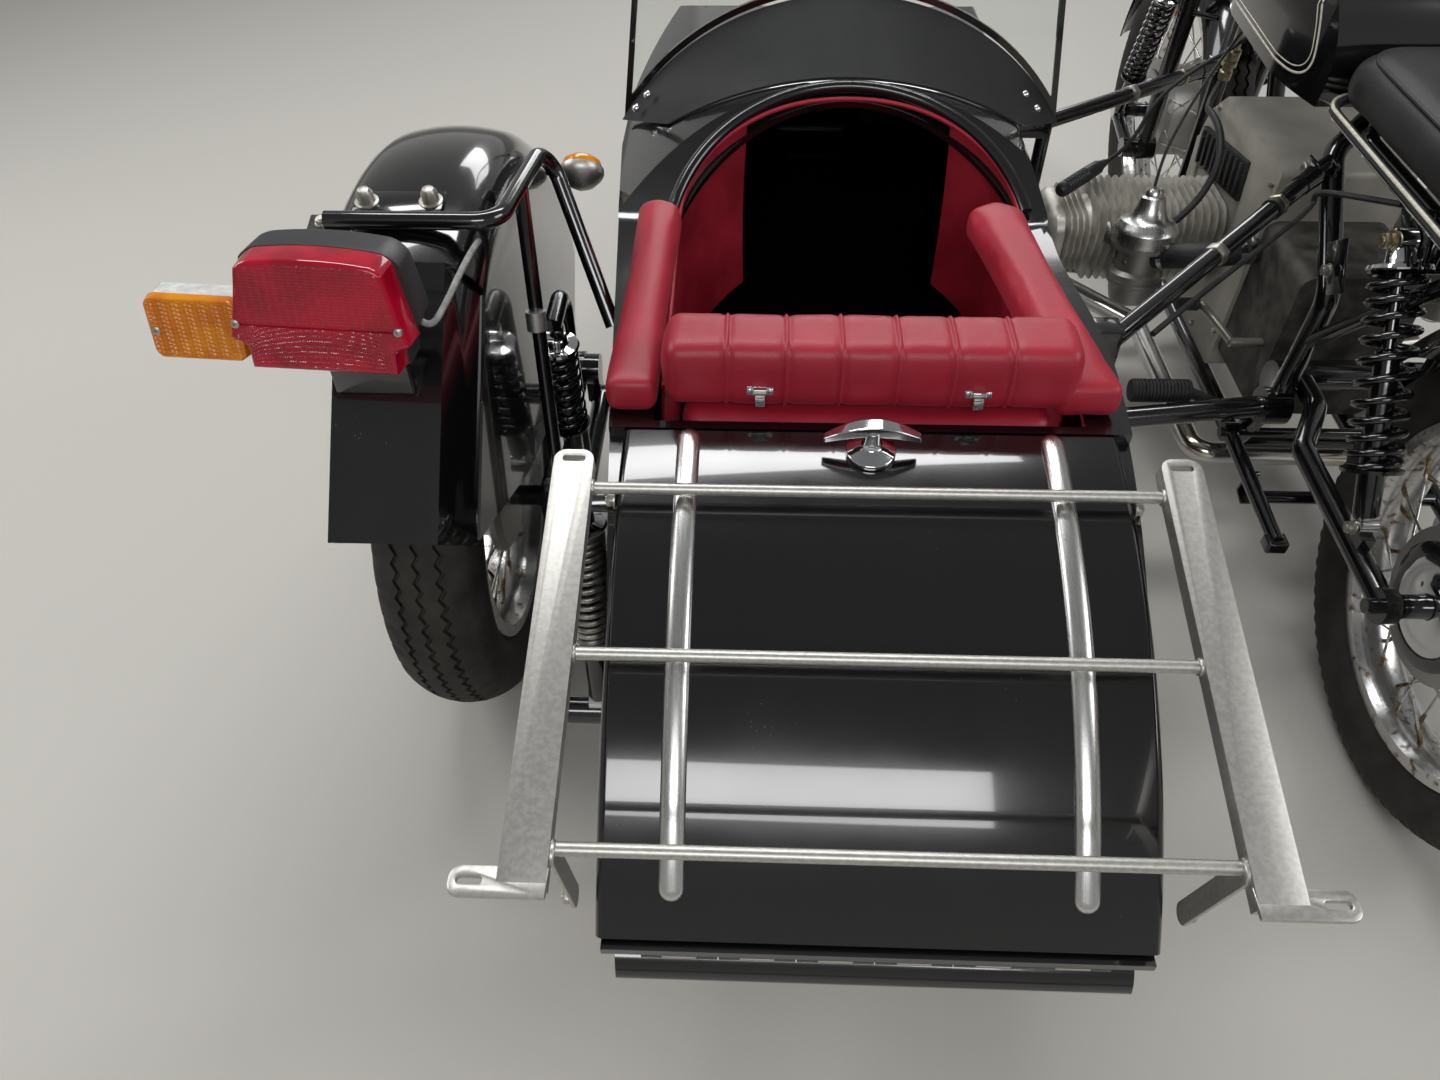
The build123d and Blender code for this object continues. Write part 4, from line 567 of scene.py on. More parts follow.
# Rack rods. Round aluminium rods whose ends pass through the bars' inner flanges. A small uneven weld bead
# runs round each end.
for i, share in enumerate((0.09, 0.51, 0.92)):
    rod = start("cylinder", f"rack_rod_{i + 1}", vertices=32, radius=0.0065, depth=0.592,
                rotation=(0, math.pi / 2, 0))
    bpy.ops.object.transform_apply()
    rod.location = rack_place(0, share * RACK_LONG)
    in_place(rod, "boot_lid_set", satin_bar, angle=50)
    for side, word in SIDES:
        weld = start("torus", f"rack_weld_{i + 1}_{word}", major_segments=24, minor_segments=8,
                     major_radius=0.0068, minor_radius=0.0022,
                     location=rack_place(side * 0.2935, share * RACK_LONG), rotation=(0, math.pi / 2, 0))
        for vert in weld.data.vertices:
            vert.co *= 1 + 0.05 * math.sin(9 * math.atan2(vert.co.y, vert.co.x))
        in_place(weld, "boot_lid_set", satin_bar, angle=180)

# Rack feet. Each bar's lower end is bent outwards into a flat tab with a strap slot. It is drawn 3 mm short
# of the bar's end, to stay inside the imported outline.
for side, word in SIDES:
    foot = brick((0.084, 0.028, 0.006))
    foot.name = f"rack_foot_{word}"
    round_corners(foot, lambda x, y: x > 0, 0.011, 6)
    strap_slot(foot, 0.022, 0.007, 0.024, 0)
    soften(foot, 0.0015, 2, 40)
    foot.rotation_euler = (0, 0, math.pi if side < 0 else 0)
    foot.location = rack_place(side * 0.335, RACK_LONG - 0.003) + Vector((0, 0, 0.0085))
    in_place(foot, "boot_lid_set", satin_bar, angle=35)

# Rack fixings. Plated hexagon bolts with round washers, through the lid's edge and through round-ended
# steel brackets at the bars' lower ends.


HEXAGON = 0.577  # a hexagon's corner radius over its width across flats


def hexagon_bolt(name, place, facing, wide, body, washer=1.0, tall=0.6, material=None):
    """Hexagon head on its round washer, facing along a direction."""
    disc = start("cylinder", name, vertices=32, radius=wide * 0.5 * (1 + 0.35 * washer), depth=wide * 0.14)
    head = start("cylinder", "head", vertices=6, radius=wide * HEXAGON, depth=wide * tall,
                 location=(0, 0, wide * tall / 2))
    soften(head, wide * 0.05, 2)
    stud = start("cylinder", "stud", vertices=24, radius=wide * 0.3, depth=wide * 0.12,
                 location=(0, 0, wide * (tall + 0.04)))
    alone(disc, head, stud)
    bpy.ops.object.join()
    disc.location = place
    disc.rotation_euler = Vector(facing).to_track_quat("Z", "Y").to_euler()
    in_place(disc, body, material or zinc_plate, angle=35)


LID_EDGE, BRACKET_RUN = 0.2735, 0.505
for side, word in SIDES:
    upper = on_lid(side * LID_EDGE, 0.092, -0.0085)
    hexagon_bolt(f"rack_bolt_top_{word}", upper, (side, 0, 0), 0.014, "boot_lid_set", 1.6)
    lower = on_lid(side * LID_EDGE, BRACKET_RUN, -0.009)
    tab = start("cylinder", f"rack_bracket_{word}", vertices=40, radius=0.0115, depth=0.004,
                rotation=(0, math.pi / 2, 0))
    bpy.ops.object.transform_apply()
    reach = rack_place(0, RACK_LONG * 0.93) - lower
    for vert in tab.data.vertices:
        if vert.co.z > 1e-5:
            vert.co.y += reach.y
            vert.co.z += reach.z
    tab.location = lower + Vector((side * 0.0185, 0, 0))
    soften(tab, 0.0008, 1, 30)
    in_place(tab, "boot_lid_set", satin_bar, angle=35)
    bolt_seat = lower + Vector((side * 0.0206, 0, 0))
    hexagon_bolt(f"rack_bolt_low_{word}", bolt_seat, (side, 0, 0), 0.015, "boot_lid_set", 1.2)

# Upholstery. Foam pads under soft red leatherette: the grain is pebbled about 1.5 mm, the sheen is satin, and
# the cover pulls in along its sewn seams.
leatherette, shader = finish("red_leatherette", "a01c30", 0.42)
shader.inputs["Sheen Weight"].default_value = 0.04
shader.inputs["Sheen Roughness"].default_value = 0.4


def pebbled(material, shader, scale, strength, depth, waves=None):
    """Bump of a hide's pebbles, under wider waves (scale, detail, strength, depth) if there are any."""
    spot = node(material, "ShaderNodeTexCoord").outputs["Object"]
    pebbles = node(material, "ShaderNodeTexVoronoi", {"Vector": spot}, feature="SMOOTH_F1", Scale=scale)
    bump = node(material, "ShaderNodeBump", {"Height": pebbles.outputs["Distance"]}, Strength=strength,
                Distance=depth)
    swell = None
    if waves:
        swell = node(material, "ShaderNodeTexNoise", {"Vector": spot}, Scale=waves[0], Detail=waves[1])
        bump = node(material, "ShaderNodeBump", {"Height": swell.outputs[0], "Normal": bump.outputs[0]},
                    Strength=waves[2], Distance=waves[3])
    wire(material, bump.outputs[0], shader, "Normal")
    return swell


pebbled(leatherette, shader, 620, 0.32, 0.0005, (70, 4, 0.25, 0.0012))
tint = mottle(leatherette, shader, "951529", "a92036", 1000 / 11, 0.3, 0.7)
haze(leatherette, shader, tint, 0.36, 0.52)

# Bolster. A long sausage of foam across the seat's back, with six sewn seams and rounded ends. The cover is
# drawn in at every seam, and a thin welt stands up along it.
BOLSTER_SEAMS = (-0.158, -0.093, -0.033, 0.028, 0.088, 0.150)
BOLSTER_HALF = 0.232
bolster_low, bolster_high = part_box("bolster")
BOLSTER_MID = (bolster_low + bolster_high) / 2


def sausage(name, half, deep, tall, seams, columns=320, around=48, square=4.2):
    """Padded roll along X: its squarish section is pulled in at the seams, each under a raised welt."""
    roll = start("cylinder", name, vertices=around, radius=1, depth=2, end_fill_type="NOTHING",
                 rotation=(0, math.pi / 2, 0))
    bpy.ops.object.transform_apply()
    bpy.ops.object.mode_set(mode="EDIT")
    bpy.ops.mesh.select_all(action="SELECT")
    mesh = bmesh.from_edit_mesh(roll.data)
    along = [e for e in mesh.edges if abs(e.verts[0].co.x - e.verts[1].co.x) > 1]
    bmesh.ops.subdivide_edges(mesh, edges=along, cuts=columns)
    bmesh.update_edit_mesh(roll.data)
    bpy.ops.object.mode_set(mode="OBJECT")
    for vert in roll.data.vertices:
        u = vert.co.x
        x = half * math.sin(u * math.pi / 2) if abs(u) > 0.9 else half * u / 0.9 * math.sin(0.9 * math.pi / 2)
        gap = min(abs(x - s) for s in seams)
        pinch = 1 - 0.05 * math.exp(-((gap / 0.006) ** 2)) + 0.075 * math.exp(-((gap / 0.0019) ** 4))
        end = max(0.0, (abs(x) - (half - 0.3 * deep)) / (0.3 * deep))
        round_end = math.sqrt(max(0.0, 1 - min(1.0, end) ** 2.8))
        c, s = vert.co.y, vert.co.z
        size = (abs(c) ** square + abs(s) ** square) ** (-1 / square)
        ripple = 1 + 0.007 * math.sin(31 * x + 3 * c) + 0.005 * math.sin(57 * x + 5 * s)
        vert.co.y = c * size * deep / 2 * pinch * round_end * ripple
        vert.co.z = s * size * tall / 2 * pinch * round_end * ripple
        vert.co.x = x
    bpy.ops.object.mode_set(mode="EDIT")
    bpy.ops.mesh.select_all(action="SELECT")
    bpy.ops.mesh.remove_doubles(threshold=0.0004)
    bpy.ops.mesh.select_all(action="SELECT")
    bpy.ops.mesh.fill_holes(sides=0)
    bpy.ops.mesh.normals_make_consistent(inside=False)
    bpy.ops.object.mode_set(mode="OBJECT")
    roll.select_set(True)
    bpy.ops.object.shade_smooth()
    return roll


bolster_pad = sausage("bolster_pad", BOLSTER_HALF, 0.084, 0.082, BOLSTER_SEAMS)
bolster_pad.location = BOLSTER_MID + Vector((0, 0.001, 0.0))
in_place(bolster_pad, "outfit", leatherette)
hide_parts("bolster")

# Armrests. Foam on a shaped board along each side of the cockpit, covered in the same leatherette. Seen from
# above each is a long wedge, crowned on top, with its front end cut back towards the cockpit.


PAD_PRESSURE, PAD_FRAMES = 4.0, 20


def crowned_pad(name, outline, low, high, bulge, material, voxel=0.005, cap=0.008):
    """Pad from its outline seen from above: a remeshed block, blown up a little as a cover does over foam."""
    mesh = bmesh.new()
    ring = [mesh.verts.new((x, y, low)) for x, y in outline]
    face = mesh.faces.new(ring)
    grown = bmesh.ops.extrude_face_region(mesh, geom=[face])
    top = [g for g in grown["geom"] if isinstance(g, bmesh.types.BMVert)]
    for vert in top:
        vert.co.z = high
    bmesh.ops.recalc_face_normals(mesh, faces=mesh.faces)
    bmesh.ops.bevel(mesh, geom=mesh.edges[:], offset=bulge, segments=4, affect="EDGES", profile=0.5)
    pad = object_of(name, mesh)
    modify(pad, "REMESH", mode="VOXEL", voxel_size=voxel)
    before = [v.co.copy() for v in pad.data.vertices]
    cloth = pad.modifiers.new("cloth", "CLOTH")
    cloth.settings.use_pressure = True
    cloth.settings.uniform_pressure_force = PAD_PRESSURE
    cloth.settings.effector_weights.gravity = 0
    for frame_number in range(1, PAD_FRAMES + 1):
        bpy.context.scene.frame_set(frame_number)
    puffed = pad.evaluated_get(bpy.context.evaluated_depsgraph_get())
    after = [v.co.copy() for v in puffed.data.vertices]
    pad.modifiers.remove(cloth)
    bpy.context.scene.frame_set(1)
    for vert, old, new in zip(pad.data.vertices, before, after):
        move = new - old
        vert.co = old + move * min(1.0, cap / max(move.length, 1e-9))
        if old.z < low + 0.002:
            vert.co.z = max(vert.co.z, low)
    modify(pad, "SMOOTH", iterations=6)
    modify(pad, "SUBSURF", levels=1)
    in_place(pad, "outfit", material, angle=180)
    return pad


ARM_LOW = 0.5988
ARM_OUTLINES = {
    "armrest_left": ((-0.294, 0.022), (-0.236, 0.022), (-0.231, 0.424), (-0.262, 0.444), (-0.290, 0.430)),
    "armrest_right": ((0.206, 0.022), (0.280, 0.024), (0.232, 0.424), (0.196, 0.446), (0.154, 0.420)),
}
for name, corners in ARM_OUTLINES.items():
    outline = [(BODY_X + x, AXLE_Y + y) for x, y in corners]
    arm = crowned_pad(name, outline, ARM_LOW, ARM_LOW + 0.044, 0.012, leatherette, cap=0.006)
    if name == "armrest_left":
        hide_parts("armrests")

# Seat. A deep foam cushion and a backrest between the armrests, in the same cover. The foam rounds their edges
# and puffs their faces out a little.
for name, node_name, rear, inset, drop, bulge, voxel, cap in (
    ("seat_pad", "seat_cushion", 0.008, 0.008, (0.0, 0.008), 0.024, 0.008, 0.012),
    ("back_pad", "seat_backrest", 0.001, 0.006, (0.004, 0.004), 0.02, 0.007, 0.006),
):
    low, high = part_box(node_name)
    left, right, front, back = low.x + inset, high.x - inset, high.y - inset, low.y + rear
    outline = [(left, back), (right, back), (right, front), (left, front)]
    pad = crowned_pad(name, outline, low.z + drop[0], high.z - drop[1], bulge, leatherette,
                      voxel, cap)
    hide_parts(node_name)

# Turn buttons. Two small plated clips on the bolster's rear edge that hold the cover: a plate with a screw at
# each end, and a short turning bar that hangs from its middle.
for side, word in SIDES:
    made = [brick((0.030, 0.0022, 0.011)), brick((0.011, 0.006, 0.020), (0, -0.004, -0.007)),
            brick((0.015, 0.008, 0.007), (0, -0.0045, 0.001))]
    for end in (-1, 1):
        screw = start("uv_sphere", "screw", segments=16, ring_count=8, radius=0.0032,
                      location=(end * 0.0115, -0.0012, 0))
        screw.scale = (1, 0.5, 1)
        bpy.ops.object.transform_apply()
        made.append(screw)
    alone(*made)
    bpy.ops.object.join()
    button = bpy.context.object
    button.name = f"turn_button_{word}"
    soften(button, 0.0012, 3, 50)
    button.location = BOLSTER_MID + Vector((side * 0.119 - 0.002, -0.0405, -0.012))
    button.rotation_euler = (math.radians(-10), 0, 0)
    in_place(button, "outfit", chrome, angle=40)

# Cockpit rim, apron and windscreen. The rim is a black moulding round the opening; the apron is black
# leathercloth, held by press studs; the screen is clear acrylic in a thin black steel frame.
black_moulding = grained("black_moulding", "101011", 0.2, 2.0, 0.05, 0.05, (0.14, 0.28), coat=0.5)
smoothed("cockpit_rim", "rim_moulding", black_moulding, 40)

leathercloth, shader = finish("black_leathercloth", "19191a", 0.55)
haze(leathercloth, shader, pebbled(leathercloth, shader, 700, 0.3, 0.0004, (16, 3, 0.35, 0.004)), 0.5, 0.66)
smoothed("front_apron", "apron_cloth", leathercloth, 50)

acrylic, shader = finish("clear_acrylic", "f4f7f6", 0.02)
shader.inputs["Transmission Weight"].default_value = 1.0
shader.inputs["IOR"].default_value = 1.2
grain(acrylic, shader, 30, 0.02, 4.0, depth_mm=0.2)
smoothed("windscreen", "screen_sheet", acrylic, 40)
smoothed("windscreen_frame", "screen_frame", black_moulding, 40)

# Cockpit lining. Red leathercloth panels along the cockpit's sides, up to the rim, with a thin piping sewn
# along their top edge and round the arch.
deep_red, shader = finish("red_leathercloth", "7d1222", 0.45)
pebbled(deep_red, shader, 650, 0.3, 0.0004)
haze(deep_red, shader, mottle(deep_red, shader, "6f0e1c", "8a1729", 60), 0.4, 0.55)
trim_panels = smoothed("cockpit_trim", "trim_panels", deep_red, 40)
flattened(trim_panels.data.vertices, 0.016)


def pipe(name, points, radius, material, body, sides=16, steps=6):
    """Round rod or tube whose line runs smoothly along its points, with closed ends."""
    route = bpy.data.curves.new(name, "CURVE")
    route.dimensions = "3D"
    route.bevel_depth = radius
    route.bevel_resolution = max(1, sides // 4 - 1)
    route.use_fill_caps = True
    line = route.splines.new("NURBS")
    line.points.add(len(points) - 1)
    for control, place in zip(line.points, points):
        control.co = (*place, 1)
    line.order_u = 3
    line.use_endpoint_u = True
    line.resolution_u = steps
    rod = bpy.data.objects.new(name, route)
    bpy.context.scene.collection.objects.link(rod)
    alone(rod)
    bpy.ops.object.convert(target="MESH")
    rod = bpy.context.object
    rod.name = name
    in_place(rod, body, material, angle=40)


def turned(name, centre, facing, outline, material, body, steps=64, angle=35):
    """Piece turned about an axis: its outline is (along the axis, radius), from one end to the other."""
    mesh = bmesh.new()
    ring = [mesh.verts.new((radius, 0, along)) for along, radius in outline]
    edges = [mesh.edges.new(pair) for pair in zip(ring, ring[1:])]
    bmesh.ops.spin(mesh, geom=ring + edges, cent=(0, 0, 0), axis=(0, 0, 1), angle=math.tau, steps=steps)
    bmesh.ops.remove_doubles(mesh, verts=mesh.verts, dist=1e-6)
    if outline[0] != outline[-1]:
        bmesh.ops.holes_fill(mesh, edges=[e for e in mesh.edges if e.is_boundary], sides=0)
    piece = object_of(name, mesh)
    piece.rotation_euler = Vector(facing).to_track_quat("Z", "Y").to_euler()
    piece.location = centre
    in_place(piece, body, material, angle=angle)
    return piece


ARCH_Y, ARCH_TOP = 0.612, 0.704  # the arch's foremost place and its height
EDGE_HALF, EDGE_Z, ARCH_START_Y = 0.2375, 0.6045, 0.452
ARCH_SHARE = 0.55


def rim_line(share):
    """Point along the cockpit's edge: -1 and 1 are its rear corners, and 0 is the arch's top."""
    side = 1 if share > 0 else -1
    far = abs(share)
    if far > ARCH_SHARE:
        run = (far - ARCH_SHARE) / (1 - ARCH_SHARE)
        x, y, z = EDGE_HALF - 0.004 * run, ARCH_START_Y - run * 0.372, EDGE_Z - 0.010 * run
    else:
        turn = far / ARCH_SHARE * math.pi / 2
        x = EDGE_HALF * math.sin(turn) ** 0.92
        y = ARCH_Y - (ARCH_Y - ARCH_START_Y) * (1 - math.cos(turn) ** 1.1)
        z = EDGE_Z + (ARCH_TOP - EDGE_Z) * (math.cos(turn) ** 1.15)
    return Vector((BODY_X + side * x, AXLE_Y + y, z))


piping_points = [rim_line(i / 24) + Vector((0, -0.002, 0.001)) for i in range(-24, 25)]
pipe("rim_piping", piping_points, 0.0032, leatherette, "outfit", 12, 3)
LINING_COLUMNS, LINING_ROWS = 18, 12
for side, word in SIDES:
    mesh = bmesh.new()
    columns = []
    for i in range(LINING_COLUMNS + 1):
        top = rim_line(side * (0.22 + 0.78 * i / LINING_COLUMNS))
        inward = 0.012 if i < 8 else 0.004
        low = Vector((top.x + side * 0.004, top.y - inward, 0.33 + 0.10 * max(0.0, (8 - i) / 8)))
        shares = (j / LINING_ROWS for j in range(LINING_ROWS + 1))
        spots = (top.lerp(low, share) + Vector((side * 0.003 * math.sin(share * math.pi), 0, 0))
                 for share in shares)
        columns.append([mesh.verts.new(spot) for spot in spots])
    skin(mesh, columns, closed=False, ends=False)
    panel = object_of(f"lining_{word}", mesh)
    modify(panel, "SOLIDIFY", thickness=0.003, offset=0)
    flattened(panel.data.vertices, 0.022)
    in_place(panel, "outfit", deep_red, angle=40)

# Press studs. Four nickel-plated domed studs, two at each side of the apron, which hold it down on the body and
# are undone to reach into the nose.
for i, (x, y, z) in enumerate(((-0.303, 0.728, 0.648), (-0.322, 0.728, 0.627), (0.280, 0.728, 0.652),
                               (0.302, 0.728, 0.630))):
    turned(f"apron_stud_{i + 1}", Vector((BODY_X + x, AXLE_Y + y, z + 0.012)),
           (0.3 * (1 if x > 0 else -1), -0.55, 0.8),
           [(-0.003, 0), (-0.003, 0.0062), (0, 0.0062), (0.0012, 0.0055), (0.0030, 0.0030), (0.0036, 0)],
           chrome, "outfit", 24)

# Sidecar mudguard. One rolled steel pressing with a flat crown and turned-down sides, gloss black, on a flat
# tail plate. Its inner side carries a wide valance with a turned lip.


SIDE_AXLE_AHEAD, SIDE_TYRE_R = 0.2, 0.3
CROWN_R, RAIL_BACK = 0.475, 0.12  # the crown's radius, and the rail's place behind the crown's middle


def guard_at(x, y, z):
    """Point given from the sidecar wheel's middle plane and its axle."""
    return Vector((SIDE_WHEEL_X + x, AXLE_Y + SIDE_AXLE_AHEAD + y, SIDE_TYRE_R + z))


def bike_at(x, y, z):
    """Point given from the motorcycle's middle plane, its rear axle and the ground."""
    return Vector((BIKE_X + x, AXLE_Y + y, z))


def joined(made, name, body, material, bevel=0.0015):
    """Joins shaped blocks into one piece and softens its edges."""
    alone(*made)
    bpy.ops.object.join()
    piece = bpy.context.object
    piece.name = name
    soften(piece, bevel, 2, 45)
    in_place(piece, body, material, angle=35)


smoothed("sidecar_mudguard", "mudguard_shell", black_enamel, 40)
smoothed("mudguard_tail", "mudguard_tail_plate", black_enamel, 30)
RAIL_RISE = math.sqrt(CROWN_R**2 - RAIL_BACK**2) + 0.0103
crown_plate = [brick((0.100, 0.036, 0.005), guard_at(-0.004, -0.020, 0.4690),
                     (math.asin(0.080 / CROWN_R), 0, 0))]
joined(crown_plate, "crown_plate", "outfit", black_enamel, 0.0015)
for i, (x, y) in enumerate(((-0.040, -0.021), (0.032, -0.019))):
    top = guard_at(x, y, math.sqrt((CROWN_R + 0.0025) ** 2 - (y - 0.06) ** 2))
    out = (top - guard_at(x, 0.06, 0)).normalized()
    turned(f"crown_nut_{i + 1}", top, out,
           [(0, 0), (0, 0.0135), (0.0018, 0.0135), (0.0022, 0.0102), (0.003, 0.0098), (0.0125, 0.0092),
            (0.0172, 0.0062), (0.0192, 0)], zinc_plate, "outfit", 32)

# Mudguard rail. Steel tube over the crown, flattened to a strap at its outer end, bent down to the body, with
# a straight stay from the inner corner to the chassis. It was brush painted in black.
smoothed("mudguard_rail", "rail_tube", black_enamel, 40)
strap = brick((0.052, 0.026, 0.005))
strap.name = "rail_strap"
soften(strap, 0.0022, 3)
strap.rotation_euler = (math.asin(RAIL_BACK / CROWN_R), 0, 0)
strap.location = guard_at(-0.082 + 0.012, -0.060, RAIL_RISE - 0.005)
in_place(strap, "outfit", black_enamel)
hexagon_bolt("rail_bolt", guard_at(-0.080, -0.060, RAIL_RISE - 0.003), (0, -0.25, 1), 0.012, "outfit", 1.0, 0.5)
turned("stay_collar", guard_at(0.1275, -0.012, RAIL_RISE - 0.16), (0.03, -0.28, -1),
       [(-0.012, 0.009), (-0.012, 0.0125), (0.012, 0.0125), (0.012, 0.009)], satin_bar, "outfit",
       32)

# Rear lamp. A dark moulded ABS housing with a red acrylic lens held by two crosshead screws: the lens is ribbed
# upright above its seam and finely gridded below. An amber lens with level ribs stands at its left.
lamp_plastic = grained("dark_grey_abs", "2a2b2c", 0.4, 1.2, 0.2, 0.05, (0.36, 0.5))
LAMP_TILT = math.radians(9.4)
LAMP_ROLL = math.radians(2.9)
LAMP_PLACE = guard_at(-0.022, -0.262, 0.488)
LAMP_TURN = Matrix.Rotation(LAMP_ROLL, 4, "Y") @ Matrix.Rotation(math.pi / 2 - LAMP_TILT, 4, "X")
SEAM_Y = -0.0177
LENS_LOW = -0.065
LENS_HALF = 0.0864


def lens_half(y):
    """Half of the red lens's width: it narrows upwards, and steps in below its seam."""
    if y > SEAM_Y:
        return LENS_HALF - (y - SEAM_Y) * 0.25
    share = min(1.0, (SEAM_Y - y) / 0.024)
    return LENS_HALF - 0.0148 * share * share * (3 - 2 * share)


def lens_top(x):
    """Height of the red lens's arched top edge, with its rounded corners."""
    return 0.0496 - 0.006 * (x / 0.07) ** 2 - 0.006 * max(0.0, (abs(x) - 0.056) / 0.014) ** 2


def amber_half(y):
    """Half of the amber lens's width, with its rounded corners."""
    over = max(0.0, abs(y + 0.034) - 0.022) / 0.010
    return 0.0455 - 0.010 * (1 - math.sqrt(max(0.0, 1 - min(1.0, over) ** 2)))


def lamp_shell(name, half_at, low, top_at, lip, deep, columns, rows, relief, material, centre=(0, 0, 0)):
    """Moulded lens: a rounded face shaped by a relief function, and walls that run back to its housing."""
    lens = start("grid", name, x_subdivisions=columns, y_subdivisions=rows, size=1)
    high = top_at(0)
    for vert in lens.data.vertices:
        u, share = vert.co.x * 2, vert.co.y + 0.5
        level = low + share * (high - low)
        x = u * half_at(level)
        y = low + share * (top_at(x) - low)
        gap = min((1 - abs(u)) * half_at(level), share * (high - low), (1 - share) * (high - low))
        round_off = lip - math.sqrt(max(0.0, lip**2 - (lip - gap) ** 2)) if gap < lip else 0.0
        vert.co = (x, y, -round_off + (relief(x, y) if gap >= lip else 0))
    bpy.ops.object.mode_set(mode="EDIT")
    bpy.ops.mesh.select_all(action="DESELECT")
    bpy.ops.mesh.select_mode(type="EDGE")
    bpy.ops.mesh.select_non_manifold()
    bpy.ops.mesh.extrude_region_move(TRANSFORM_OT_translate={"value": (0, 0, lip - deep)})
    bpy.ops.transform.resize(value=(1.025, 1.03, 1), center_override=(0, (low + high) / 2, 0))
    bpy.ops.mesh.fill()
    bpy.ops.mesh.select_all(action="SELECT")
    bpy.ops.mesh.normals_make_consistent(inside=False)
    bpy.ops.mesh.select_mode(type="VERT")
    bpy.ops.object.mode_set(mode="OBJECT")
    lens.matrix_world = Matrix.Translation(LAMP_PLACE) @ LAMP_TURN @ Matrix.Translation(centre)
    in_place(lens, "outfit", material, angle=30)
    return lens


def lamp_box(name, half_at, low, top_at, rings, middle, material):
    """Lamp housing: the lens's own outline carried back through rings of (depth, scale)."""
    high = top_at(0)
    right = [(half_at(low + i / 24 * (high - low)), low + i / 24 * (high - low)) for i in range(25)]
    right = [(x, min(y, top_at(x))) for x, y in right]
    top = [(right[-1][0] * (1 - i / 12), top_at(right[-1][0] * (1 - i / 12))) for i in range(1, 24)]
    outline = right + top + [(-x, y) for x, y in reversed(right)]
    mesh = bmesh.new()
    loops = []
    for depth, scale in rings:
        loops.append([mesh.verts.new((middle[0] + (x - middle[0]) * scale, middle[1] + (y - middle[1]) * scale,
                                      -depth)) for x, y in outline])
    skin(mesh, loops)
    box = object_of(name, mesh)
    box.matrix_world = Matrix.Translation(LAMP_PLACE) @ LAMP_TURN
    in_place(box, "outfit", material, angle=35)
    return box


red_acrylic = weathered("red_acrylic", "b00d2b", 0.1, ("a10a27", "bb1030"), 40, (0.08, 0.16), coat=0.8,
                                    spread=(0.4, 0.6))
amber_acrylic = weathered("amber_acrylic", "e58708", 0.1, ("d97a06", "ec930f"), 30, (0.08, 0.16),
                                        coat=0.8, spread=(0.4, 0.6))
for material in (red_acrylic, amber_acrylic):
    shader_of(material).inputs["Transmission Weight"].default_value = 0.12
    shader_of(material).inputs["IOR"].default_value = 1.3
clear_acrylic = weathered("clear_lamp_acrylic", "dcdcd8", 0.12, ("c9cac7", "e6e6e2"), 12, (0.1, 0.2), coat=0.6)


def red_relief(x, y):
    """Height of the red lens's ribs above its seam, and of its grid below."""
    if abs(y - SEAM_Y) < 0.0012:
        return -0.0020
    if y > SEAM_Y:
        return 0.0006 * math.cos(x / 0.0078 * math.tau) + 0.00025 * math.cos(y / 0.0031 * math.tau)
    return 0.00045 * math.cos((x + y) / 0.0046 * math.tau) * math.cos((x - y) / 0.0046 * math.tau)


def amber_relief(x, y):
    """Height of the amber lens's level, slightly waved ribs."""
    waved = y + 0.0009 * math.sin(x / 0.013 * math.tau)
    return 0.0007 * math.cos(waved / 0.0046 * math.tau) + 0.00025 * math.cos(x / 0.0042 * math.tau)


def plain_relief(x, y):
    """Smooth face of the clear shell behind the amber lens."""
    return 0


red_lens = lamp_shell("red_lens", lens_half, LENS_LOW, lens_top, 0.005, 0.034, 200, 170, red_relief,
                      red_acrylic)
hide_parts("tail_lamp_lens")
housing = lamp_box("lamp_housing", lens_half, LENS_LOW, lens_top,
                   ((0.0335, 0.99), (0.0335, 1.045), (0.036, 1.055), (0.070, 1.05), (0.078, 1.02),
                    (0.081, 0.95)), (0, 0), lamp_plastic)
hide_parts("tail_lamp")
amber_lens = lamp_shell("amber_lens", amber_half, -0.066, lambda x: -0.002, 0.003, 0.011, 110, 130,
                        amber_relief, amber_acrylic, (-0.1265, 0, -0.014))
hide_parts("side_indicator")
clear_shell = lamp_shell("clear_shell", amber_half, -0.065, lambda x: -0.003, 0.003, 0.026, 40, 40,
                         plain_relief, clear_acrylic, (-0.1265, 0, -0.0255))
arm = [brick((0.060, 0.022, 0.018), LAMP_PLACE + (LAMP_TURN @ Vector((-0.075, -0.034, -0.058))),
             (LAMP_TILT, 0, 0))]
slope = brick((0.084, 0.014, 0.118), guard_at(-0.010, -0.204, 0.409), (math.radians(-1), 0, 0))
joined(arm, "indicator_arm", "outfit", lamp_plastic, 0.003)
joined([slope], "lamp_bracket", "outfit", black_enamel, 0.002)
screws = [(x, SEAM_Y, 0.0005) for x in (-0.078, 0.078)] + [(-0.164, -0.036, -0.0125)]
for i, place_at in enumerate(screws):
    spot = LAMP_PLACE + (LAMP_TURN @ Vector(place_at))
    facing = LAMP_TURN.to_3x3() @ Vector((0, 0, 1))
    turned(f"lens_screw_{i + 1}", spot, facing,
           [(-0.004, 0), (-0.004, 0.0042), (0.0006, 0.0042), (0.0014, 0.0032), (0.0016, 0.0012),
            (0.0002, 0.0008), (0.0, 0)], zinc_plate, "outfit", 24)
grey_cable = weathered("grey_pvc", "8b8c8a", 0.5, ("777876", "9a9b98"), 12, (0.42, 0.6))
pipe("lamp_cable",
     [guard_at(0.058, -0.215, 0.452), guard_at(0.074, -0.232, 0.446), guard_at(0.088, -0.205, 0.462),
      guard_at(0.094, -0.150, 0.468), guard_at(0.094, -0.100, 0.461), guard_at(0.092, -0.070, 0.452)], 0.0034,
     grey_cable, "outfit", 12, 8)
